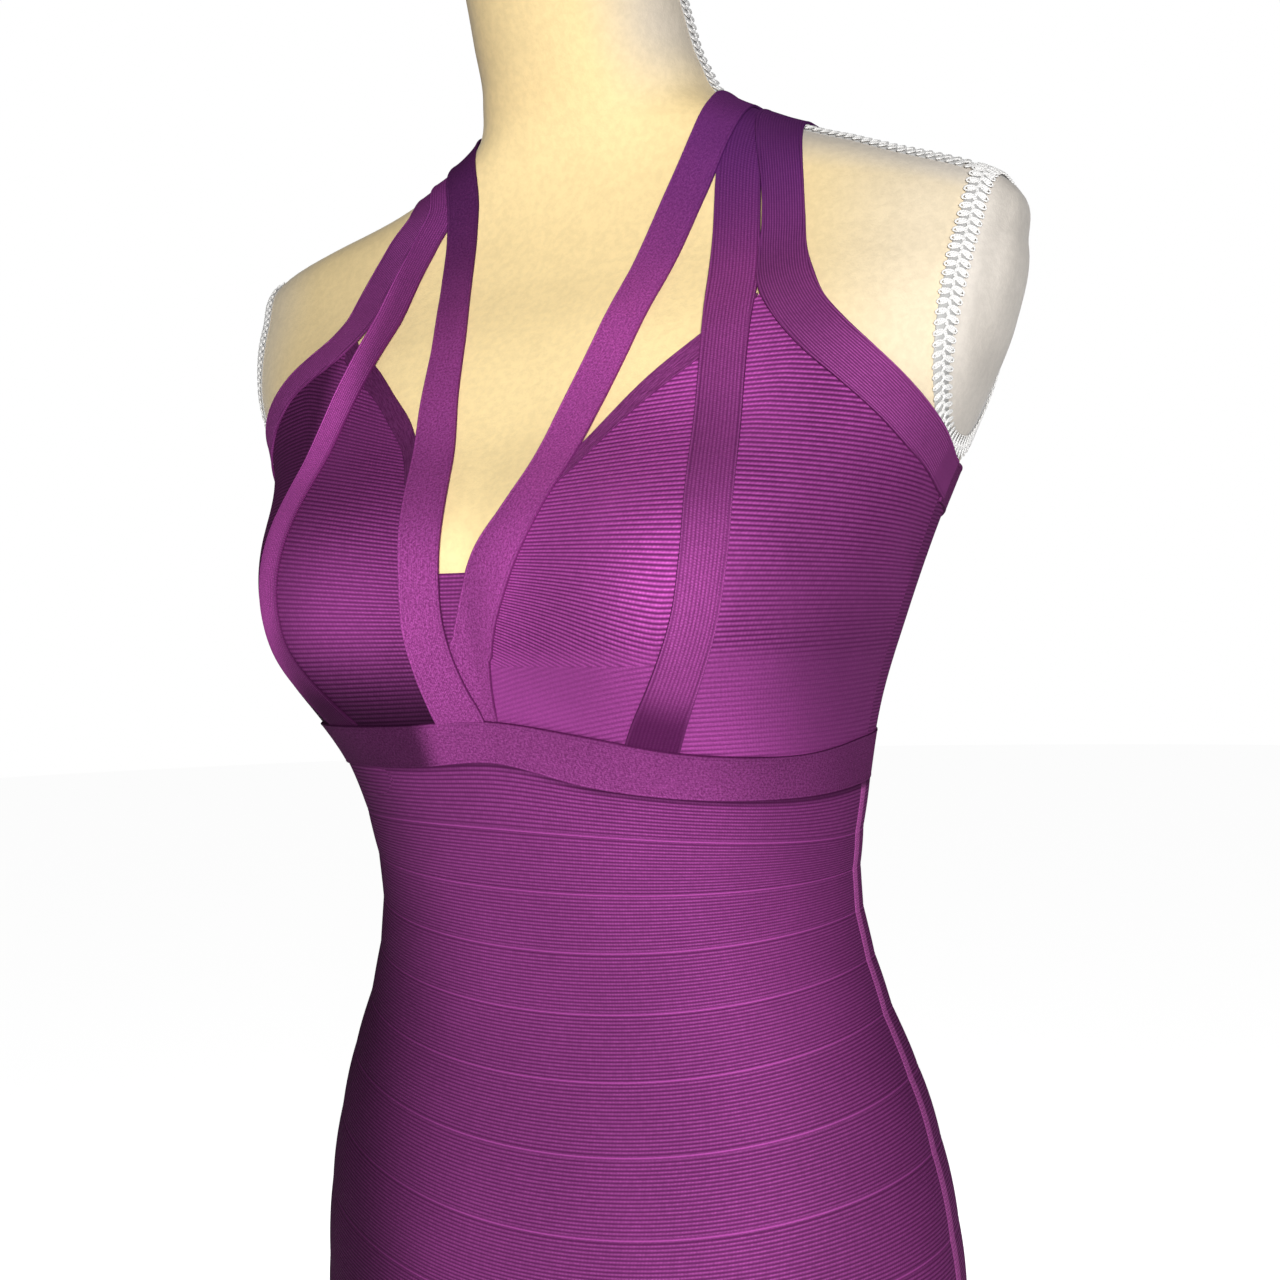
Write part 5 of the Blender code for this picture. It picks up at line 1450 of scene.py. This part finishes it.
def ring_rows(side):
    """Points of an armplate's braid ring."""
    low, high = ring_end(side, RING_MIDDLE - RING_REACH), ring_end(side, RING_MIDDLE + RING_REACH)
    turn = np.linspace(0.0, 2 * np.pi, 240, endpoint=False)
    height = (low + high) / 2 + (high - low) / 2 * np.cos(turn)
    s = section(height)
    out = ring_out(side, height)
    share = (1 - np.minimum(out / s["half_width"], 1.0) ** s["square"]) ** (1 / s["square"])
    before = -s["front"] * share - bust_swell(out, height, share)
    depth = np.where(np.sin(turn) < 0, before, s["back"] * share)
    return np.stack((SIGN[side] * out, s["centre"] + depth, height), -1)


def near_any(points, lines, reach):
    """Whether points lie within reach of any of the lines' places."""
    found = np.zeros(len(points), bool)
    for line in lines:
        places = path_along(line, 0.003)[:, :3]
        gap = np.linalg.norm(points[:, None, :] - places[None], axis=-1).min(1)
        found |= gap < reach
    return found


# ---------------------------------------------------------------- panels
SEAM_ROWS = (0.0, 0.00030, 0.00065, 0.0011, 0.0017, 0.0024, 0.0034)
SIDE_SEAM_TURNS = np.array((-2.2, -1.2, -0.6, -0.25, 0.0, 0.25, 0.6, 1.2, 2.2))
FIRST_STRIP_ROWS_TOP = 0.083
FIRST_STRIP_TOP = 0.075
SKIRT_RADIUS = 0.155
BAND_RADIUS = 0.14
CUP_RADIUS = 0.15
GUSSET_RADIUS = 0.13
BACK_RADIUS = 0.16
CUP_FOOT = 0.083
CUP_ROW_CROWDING = 1.15
CUP_LAP = 0.0006
GUSSET_TUCK = 0.3
BINDING_LIFT = 0.0003
BINDING_REACH = 0.10
# How far the underbust band stands off the figure on the front and behind, and the angles between.
BAND_SEAT = (0.0022, 0.0011)
BACK_BAND_SEAT = (0.0014, 0.0014)
SEAT_CHANGE = (42.0, 60.0)


def knit_wall(radians, height):
    """Outer and inner points of a knit panel that lies on the form."""
    wall = bpy.context.scene.dress_sizes.wall
    return tuple(figure(radians, height, np.full(height.shape, proud)) for proud in (SEAT + wall, SEAT))


def skirt_row_plan():
    """Heights of the skirt's seams, and its rows from the hem up: strip, and share of the way up it."""
    levels = [None] + seam_heights()
    plan = []
    for index in range(len(levels) - 1, 0, -1):
        top = FIRST_STRIP_ROWS_TOP if index == 1 else levels[index - 1]
        strip = top - levels[index]
        near = [offset / strip for offset in SEAM_ROWS]
        middle = list(np.linspace(near[-1], 1 - near[-1], 7)[1:-1])
        far = [1 - share for share in reversed(near[1:])]
        plan += [(index, share) for share in near + middle + far]
    plan.append((1, 1.0))
    return levels, plan


def skirt_relief(share, to_seam, side):
    """How far the skirt's outer face stands off the form, by the distances to its seam and side seam."""
    sizes = bpy.context.scene.dress_sizes
    proud = SEAT + sizes.wall
    if 0 < share < 1:
        proud = proud + sizes.strip_bulge * math.sin(math.pi * share) ** 0.8
    ridge = sizes.seam_ridge * max(0.0, 1.0 - (to_seam / 0.0005) ** 2)
    proud += ridge - 0.00008 * math.exp(-(((to_seam - 0.0011) / 0.0005) ** 2))
    proud = proud - 0.0003 * np.exp(-((side / 0.0008) ** 2))
    return proud + 0.00010 * np.exp(-(((side - 0.0022) / 0.001) ** 2))


def add_skirt():
    levels, plan = skirt_row_plan()
    front = np.linspace(-SIDE_SEAM, SIDE_SEAM, 121)[2:-2]
    back = np.linspace(SIDE_SEAM, 360 - SIDE_SEAM, 121)[2:-2]
    first, last = -SIDE_SEAM + SIDE_SEAM_TURNS[4:], 360 - SIDE_SEAM + SIDE_SEAM_TURNS[:4]
    degrees = np.concatenate((first, front, SIDE_SEAM + SIDE_SEAM_TURNS, back, last))
    radians = np.radians(degrees)
    girth = once_round(radians)
    girth[-1] += 2 * np.pi
    girth *= SKIRT_RADIUS
    side_turn = np.radians(np.abs(np.abs(wrap(degrees)) - SIDE_SEAM))
    outer, inner, kept, cloth, edge, under = [], [], [], [], [], []
    for number, (index, share) in enumerate(plan):
        bottom = levels[index]
        low = seam_line(bottom, degrees)
        if index == 1:
            top, high = FIRST_STRIP_TOP, band_middle(degrees)
        else:
            top, high = levels[index - 1], seam_line(levels[index - 1], degrees)
        height = low + share * (high - low)
        strip = top - bottom
        to_seam = (share if index == 1 else min(share, 1 - share)) * strip
        side = side_turn * section(height)["half_width"]
        outer.append(figure(radians, height, skirt_relief(share, to_seam, side)))
        if share in (0.0, 1.0):
            kept.append(number)
            inner.append(figure(radians, low if share == 0.0 else high, np.full(len(degrees), SEAT)))
        # Distance below the band's lower edge, which the knit's material turns into painted shadow on the
        # skirt there.
        gap = np.maximum(band_edge(degrees, 1) - height, 0.0)
        for rows, first_map, second_map in (
            (cloth, girth, bottom + share * strip),
            (edge, to_seam, once_round(side)),
            (under, once_round(gap), 0.0),
        ):
            rows.append(np.stack(np.broadcast_arrays(first_map, second_map), -1))
    maps = (np.array(cloth), np.array(edge), material("rib"))
    piece = add_cloth("knit_skirt", np.array(outer), np.array(inner), *maps, True, kept, dart=np.array(under))
    return show_instead(piece, "skirt_front", "skirt_back")


def add_ring_band(name, edges, first, last, cells, seat, wrapped, nodes):
    """Flat band round the figure between two edge lines, with raised edge seams."""
    sizes = bpy.context.scene.dress_sizes
    degrees = np.linspace(first, last, cells, endpoint=not wrapped)
    low, high = (edges(degrees, column) for column in (1, 2))
    radians = np.radians(degrees)
    seat = np.interp(np.abs(wrap(degrees)), SEAT_CHANGE, seat)
    width = float((high - low).mean())
    stretch, wide = radians, high - low
    if wrapped:
        stretch, wide = np.concatenate((radians, radians[:1] + 2 * np.pi)), once_round(wide)
    outer, inner, cloth, edge = [], [], [], []
    for distance, rise in zip(*strap_profile(sizes, width)):
        share = distance / width
        height = low + share * (high - low)
        outer.append(figure(radians, height, seat + sizes.wall + rise))
        inner.append(figure(radians, height, seat))
        cloth.append(np.stack((stretch * BAND_RADIUS, np.full(len(stretch), distance)), -1))
        edge.append(np.stack((share * wide, (1 - share) * wide), -1))
    grids = (np.array(grid) for grid in (outer, inner, cloth, edge))
    return show_instead(add_cloth(name, *grids, material("band"), wrapped), *nodes)


def to_side_seam(start, shares):
    return start + (SIDE_SEAM - start) * shares


def neck_start(side):
    return float(cup_inner_angle(side, CUP_NECK_START))


def cup_surface(side, shares, rows, lower, upper):
    """Angles and heights of a cup's grid: shares run from the inner edge to the side seam."""
    low = lower(to_side_seam(float(cup_inner_angle(side, CUP_FOOT)), shares))
    high = upper(to_side_seam(neck_start(side), shares))
    rise = np.linspace(0.0, 1.0, rows)[:, None] ** CUP_ROW_CROWDING
    height = low + (high - low) * rise
    return to_side_seam(cup_inner_angle(side, height), shares), height


def cup_shares(side, before, after):
    start = neck_start(side)
    peak = (CUP_PEAK_ANGLE - start) / (SIDE_SEAM - start)
    return np.concatenate((np.linspace(0, peak, before)[:-1], np.linspace(peak, 1, after)))


def bound_share(degrees):
    return np.clip((CUP_PEAK_ANGLE - degrees) / 2.5, 0.0, 1.0)


def add_cup(side):
    degrees, height = cup_surface(
        side,
        cup_shares(side, 26, 54),
        76,
        lambda level: band_middle(SIGN[side] * level) + CUP_LAP,
        lambda level: cup_top(side, level) - BINDING_WIDTH * bound_share(level),
    )
    level, dart_level = cup_rib_level(side, degrees, height)
    cloth = np.stack((np.radians(degrees) * CUP_RADIUS, level), -1)
    under = DART_HEIGHT - height if side == "left" else np.full(height.shape, -1.0)
    walls = knit_wall(np.radians(SIGN[side] * degrees), height)
    knit, dart = material("cup_" + side), np.stack((dart_level, under), -1)
    piece = add_cloth("knit_cup_" + side, *walls, cloth, np.ones(cloth.shape), knit, dart=dart)
    return show_instead(piece, "cup_" + side)


def add_binding(side):
    """Turned edge of the cup along the neckline, with its stitched lower line."""
    sizes = bpy.context.scene.dress_sizes
    start = neck_start(side)
    peak = (CUP_PEAK_ANGLE - 0.5 - start) / (SIDE_SEAM - start)
    shares = np.linspace(0.0, peak, 44)
    drops = np.array((1.0, 0.985, 0.955, 0.91, 0.86, 0.7, 0.5, 0.3, 0.12, 0.05, 0.015, 0.0)) * BINDING_WIDTH
    rises = np.array((-0.8, 0.4, 1.0, 0.5, -0.6, 0.2, 0.4, 0.4, 0.3, 0.2, -0.3, -1.6)) * sizes.piping_height
    outer, inner, cloth, edge = [], [], [], []
    for drop, rise in zip(drops, rises):
        height = cup_top(side, to_side_seam(start, shares)) - drop
        radians = np.radians(SIGN[side] * to_side_seam(cup_inner_angle(side, height), shares))
        up = np.full(len(shares), BINDING_WIDTH - drop)
        outer.append(figure(radians, height, np.full(len(shares), SEAT + sizes.wall + BINDING_LIFT + rise)))
        inner.append(figure(radians, height, np.full(len(shares), SEAT)))
        cloth.append(np.stack((shares * BINDING_REACH, up), -1))
        edge.append(np.stack((up, np.full(len(shares), 0.5)), -1))
    grids = (np.array(grid) for grid in (outer, inner, cloth, edge))
    # The right binding takes the darker copy of the felt, painted shade; the left one takes the band's felt.
    piece = add_cloth("neckline_binding_" + side, *grids, material("band" if side == "left" else "binding"))
    return show_instead(piece, "cup_binding_" + side)


def add_plain_panel(name, degrees, height, radius, node):
    """Ribbed panel between seams, with no seam lines of its own."""
    radians = np.radians(degrees)
    cloth = np.stack((radians * radius, height), -1)
    piece = add_cloth(name, *knit_wall(radians, height), cloth, np.ones(cloth.shape), material("rib"))
    return show_instead(piece, node)


def add_gusset():
    rows, across = 24, 16
    foot = float(band_middle(0.0))
    degrees, height = [], []
    for k in range(rows):
        level = foot + (GUSSET_TOP - foot) * k / (rows - 1)
        right = -float(cup_inner_angle("right", level)) + GUSSET_TUCK
        left = float(cup_inner_angle("left", level)) - GUSSET_TUCK
        degrees.append(np.linspace(right, left, across))
        height.append(np.full(across, level))
    return add_plain_panel("knit_gusset", np.array(degrees), np.array(height), GUSSET_RADIUS, "centre_gusset")


def add_back_panel():
    rows, across = 60, 110
    degrees = np.broadcast_to(np.linspace(SIDE_SEAM, 360 - SIDE_SEAM, across), (rows, across))
    low = band_middle(degrees[0])
    high = back_band_edge(degrees[0], 1) + BACK_BAND_LAP
    height = low + (high - low) * np.linspace(0, 1, rows)[:, None]
    return add_plain_panel("knit_back", degrees, height, BACK_RADIUS, "bodice_back")


# ---------------------------------------------------------------- the stand
# Rings of the base's top, each an inset and a rise, and rings of the collar, each a radius and a rise.
BASE_EDGE = 0.0100
BASE_RINGS = ((0.006, 0.0045), (0.054, 0.003), (0.056, 0.003), (0.026, 0.0015), (0.004, 0.004))
SOCKET_RIM = 0.004
SOCKET_FOOT = 0.0260
POLE_RADIUS = 0.0160
COLLAR_DEPTH = 0.026
COLLAR_RINGS = ((0.0185, 0.0020), (0.0185, 0.0110), (0.0240, 0.0030), (0.0300, 0.0008))


def add_cylinder(name, radius, low, high, vertices):
    bpy.ops.object.select_all(action="DESELECT")
    bpy.ops.mesh.primitive_cylinder_add(
        vertices=vertices, radius=radius, depth=high - low, location=(0.0, 0.0, (low + high) / 2)
    )
    piece = bpy.context.object
    piece.name = name
    piece.data.name = name
    return piece


def edit_top(piece):
    """Enter edit mode with only the top face selected."""
    bpy.ops.object.mode_set(mode="EDIT")
    bpy.ops.mesh.select_mode(type="FACE")
    bpy.ops.mesh.select_all(action="DESELECT")
    bpy.ops.object.mode_set(mode="OBJECT")
    faces = piece.data.polygons
    max(faces, key=lambda face: face.center.z).select = True
    bpy.ops.object.mode_set(mode="EDIT")


def finish_metal(piece, width, node):
    """Round the edges, smooth the faces and paint the piece."""
    bpy.ops.object.mode_set(mode="OBJECT")
    bpy.ops.object.transform_apply(location=True, rotation=True, scale=True)
    rounding = piece.modifiers.new("rounded edges", "BEVEL")
    rounding.width = width
    rounding.segments = 3
    rounding.limit_method = "ANGLE"
    rounding.angle_limit = math.radians(25)
    bpy.ops.object.modifier_apply(modifier=rounding.name)
    bpy.ops.object.shade_smooth_by_angle(angle=math.radians(32))
    piece.data.materials.append(material("metal"))
    return show_instead(piece, node)


def add_base():
    """A thick disc whose top rises in rings to the pole's socket."""
    low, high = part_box("stand_base")
    piece = add_cylinder("turned_base", high.x, low.z, BASE_EDGE, 160)
    edit_top(piece)
    for inward, rise in BASE_RINGS + ((SOCKET_RIM, high.z - SOCKET_FOOT),):
        bpy.ops.mesh.inset(thickness=inward, depth=rise)
    return finish_metal(piece, 0.0012, "stand_base")


def add_pole():
    """A straight tube with a flared collar under the torso."""
    low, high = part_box("stand_pole")
    piece = add_cylinder("turned_pole", POLE_RADIUS, low.z, high.z - COLLAR_DEPTH, 72)
    edit_top(piece)
    radius = POLE_RADIUS
    for wider, rise in COLLAR_RINGS + ((high.x, 0.0012), (high.x, 0.0080)):
        bpy.ops.mesh.extrude_region_move(TRANSFORM_OT_translate={"value": (0.0, 0.0, rise)})
        bpy.ops.transform.resize(value=(wider / radius, wider / radius, 1.0))
        radius = wider
    return finish_metal(piece, 0.0008, "stand_pole")


class MakeForm(bpy.types.Operator):
    """Cream jersey torso with its neck and armplates."""

    bl_idname = "dress.make_form"
    bl_label = "Dress form"

    def execute(self, context):
        add_form()
        return {"FINISHED"}


class MakeBraid(bpy.types.Operator):
    """Looped gimp braid round the armplates and along the neck and shoulders."""

    bl_idname = "dress.make_braid"
    bl_label = "Braid"

    def execute(self, context):
        for side in SIGN:
            kinds = ("armhole_band", "neckline_strap", "middle_strap")
            straps = [STRAP_ROWS[kind, side] for kind in kinds]

            def under_band(points):
                low_behind = (points[:, 1] > ARMPIT_DEPTH) & (points[:, 2] < ARMPIT_TOP)
                return near_any(points, straps[:1], UNDER_BAND) | low_behind

            def under_straps(points):
                return near_any(points, straps, UNDER_STRAP)

            add_braid("gimp_ring_" + side, ring_rows(side), True, "arm_braid_" + side, under_band)
            rows = np.array(SEAM_BRAID[side])
            reach = reach_along(rows)
            wanted = np.linspace(0.0, reach[-1], 80)
            line = np.stack([curve(reach, column, wanted) for column in rows.T], -1)
            add_braid("gimp_seam_" + side, foot_of(line)[0], False, "seam_braid_" + side, under_straps)
        return {"FINISHED"}


class MakeSkirt(bpy.types.Operator):
    """Bandage-knit skirt from the underbust band to the hem."""

    bl_idname = "dress.make_skirt"
    bl_label = "Skirt"

    def execute(self, context):
        add_skirt()
        return {"FINISHED"}


class MakeBodice(bpy.types.Operator):
    """Ribbed cups, their neckline bindings, the centre gusset and the back."""

    bl_idname = "dress.make_bodice"
    bl_label = "Bodice"

    def execute(self, context):
        for side in SIGN:
            add_cup(side)
            add_binding(side)
        add_gusset()
        add_back_panel()
        return {"FINISHED"}


class MakeBands(bpy.types.Operator):
    """Flat bands under the bust and across the back."""

    bl_idname = "dress.make_bands"
    bl_label = "Bands"

    def execute(self, context):
        halves = ("underbust_band_front", "underbust_band_back")
        band = add_ring_band("underbust_band", band_edge, -180.0, 180.0, 300, BAND_SEAT, True, halves)
        top = add_ring_band(
            "back_band", back_band_edge, 91.0, 269.0, 150, BACK_BAND_SEAT, False, ("back_top_band",)
        )
        return {"FINISHED"}


class MakeStraps(bpy.types.Operator):
    """Crossing neckline straps, middle straps, armhole bands and back straps."""

    bl_idname = "dress.make_straps"
    bl_label = "Straps"

    def execute(self, context):
        table = (
            ("neckline_strap", "felt", over_band, (0.0009, 0.0020)),
            ("middle_strap", "column", over_band, (0.0011, 0.0011)),
            ("armhole_band", "armhole", before_side_seam, (None, None)),
            ("back_strap", "felt", over_back_band, (None, None)),
        )
        for kind, key, trim, sinks in table:
            for side, sink in zip(SIGN, sinks):
                node = f"{kind}_{side}"
                piece = add_strap("knit_" + node, STRAP_ROWS[kind, side], key, trim, sink)
                show_instead(piece, node)
        return {"FINISHED"}


class MakeStand(bpy.types.Operator):
    """Round weighted base and the pole that carries the form."""

    bl_idname = "dress.make_stand"
    bl_label = "Stand"

    def execute(self, context):
        add_base()
        add_pole()
        return {"FINISHED"}


class MakeStage(bpy.types.Operator):
    """Pale floor, soft studio lights and the camera."""

    bl_idname = "dress.make_stage"
    bl_label = "Stage"

    def execute(self, context):
        settings = context.scene.stage_settings
        bpy.ops.object.select_all(action="DESELECT")
        bpy.ops.mesh.primitive_circle_add(
            vertices=96, radius=14.0, fill_type="NGON", location=(0.0, 0.0, -0.0005)
        )
        floor = context.object
        floor.name = "floor"
        paint, tree, shader = new_material("pale floor", roughness=0.8)
        shade = remap(tree, noise(tree, object_place(tree), 3.0, 2.0, 0.5), 0.3, 0.7, 0.985, 1.0)
        feed(tree, shader.inputs["Base Color"], toned(tree, settings.floor, shade))
        feed(tree, shader.inputs["Emission Color"], WHITE)
        seen = add_node(tree, "ShaderNodeLightPath").outputs["Is Camera Ray"]
        feed(tree, shader.inputs["Emission Strength"], maths(tree, "MULTIPLY", seen, settings.lift))
        floor.data.materials.append(paint)
        add_light("key_light", (1.08, -1.93, 1.16), (0.0, 0.0, 1.15), 0.6, settings.key)
        add_light("side_light", (-2.6, -1.6, 1.9), (0.0, 0.0, 1.15), 1.4, settings.fill)
        add_light("back_light", (-1.12, 2.12, 1.45), (0.0, 0.0, 1.0), 0.9, settings.back)
        add_surroundings(settings.sky)
        add_camera()
        context.scene.view_settings.view_transform = "Standard"
        return {"FINISHED"}


def add_surroundings(strength):
    """Even white light of a given strength, seen as plain white by the camera."""
    world = bpy.data.worlds.new("studio")
    bpy.context.scene.world = world
    world.use_nodes = True
    tree = world.node_tree
    even = tree.nodes["Background"]
    feed(tree, even.inputs["Color"], WHITE)
    feed(tree, even.inputs["Strength"], strength)
    seen = add_node(tree, "ShaderNodeLightPath").outputs["Is Camera Ray"]
    bright = add_node(tree, "ShaderNodeBackground", {"Color": WHITE, "Strength": 1.0})
    mixed = add_node(tree, "ShaderNodeMixShader", {0: seen, 1: even.outputs[0], 2: bright.outputs[0]})
    feed(tree, tree.nodes["World Output"].inputs["Surface"], mixed.outputs[0])


def add_light(name, place, aim, size, power):
    data = bpy.data.lights.new(name, "AREA")
    data.shape = "DISK"
    data.size = size
    data.energy = power
    light = bpy.data.objects.new(name, data)
    light.location = place
    light.visible_camera = False
    light.rotation_euler = (Vector(aim) - Vector(place)).to_track_quat("-Z", "Y").to_euler()
    bpy.context.scene.collection.objects.link(light)


CAMERA_LENS = 41.87
CAMERA_BEARING = 27.89
CAMERA_DISTANCE = 0.7691
CAMERA_HEIGHT = 0.1285
CAMERA_TURN = 26.76
CAMERA_PITCH = -0.25
CAMERA_ROLL = -1.47


def add_camera():
    """Camera a little above the waist and to the form's left."""
    data = bpy.data.cameras.new("camera")
    data.lens = CAMERA_LENS
    data.sensor_width = 36.0
    camera = bpy.data.objects.new("camera", data)
    bpy.context.scene.collection.objects.link(camera)
    angle, turn = math.radians(CAMERA_BEARING), math.radians(CAMERA_TURN)
    pitch, roll = math.radians(-CAMERA_PITCH), math.radians(CAMERA_ROLL)
    eye = Vector((math.sin(angle), -math.cos(angle), 0.0)) * CAMERA_DISTANCE
    eye.z = WAIST_HEIGHT + CAMERA_HEIGHT
    right = Vector((math.cos(turn), math.sin(turn), 0.0))
    level = Vector((-math.sin(turn), math.cos(turn), 0.0))
    up = Vector((0.0, 0.0, 1.0))
    look = level * math.cos(pitch) - up * math.sin(pitch)
    above = up * math.cos(pitch) + level * math.sin(pitch)
    across = right * math.cos(roll) + above * math.sin(roll)
    above = above * math.cos(roll) - right * math.sin(roll)
    rows = Matrix((across, above, -look)).transposed()
    camera.matrix_world = Matrix.Translation(eye) @ rows.to_4x4()
    bpy.context.scene.camera = camera


class DressPanel(bpy.types.Panel):
    """Lists the pieces of the dress."""

    bl_idname = "VIEW3D_PT_dress"
    bl_label = "Dress"
    bl_space_type = "VIEW_3D"
    bl_region_type = "UI"
    bl_category = "Dress"

    def draw(self, context):
        for operator in MAKERS:
            self.layout.operator(operator.bl_idname)
        for group in ("dress_sizes", "dress_colours", "stage_settings"):
            settings = getattr(context.scene, group)
            for key in settings.bl_rna.properties.keys():
                if key not in ("rna_type", "name"):
                    self.layout.prop(settings, key)


MAKERS = (MakeForm, MakeBraid, MakeSkirt, MakeBodice, MakeBands, MakeStraps, MakeStand, MakeStage)
GROUPS = (("dress_sizes", DressSizes), ("dress_colours", DressColours), ("stage_settings", StageSettings))


def register():
    for name, group in GROUPS:
        bpy.utils.register_class(group)
        setattr(bpy.types.Scene, name, PointerProperty(type=group))
    for made in MAKERS + (DressPanel,):
        bpy.utils.register_class(made)


def unregister():
    for made in reversed(MAKERS + (DressPanel,)):
        bpy.utils.unregister_class(made)
    for name, group in reversed(GROUPS):
        delattr(bpy.types.Scene, name)
        bpy.utils.unregister_class(group)


def plain(box):
    return [[float(value) for value in corner] for corner in box]


def main():
    register()
    bpy.ops.object.select_all(action="DESELECT")
    for maker in MAKERS:
        family, name = maker.bl_idname.split(".")
        getattr(getattr(bpy.ops, family), name)()


if __name__ == "__main__":
    main()
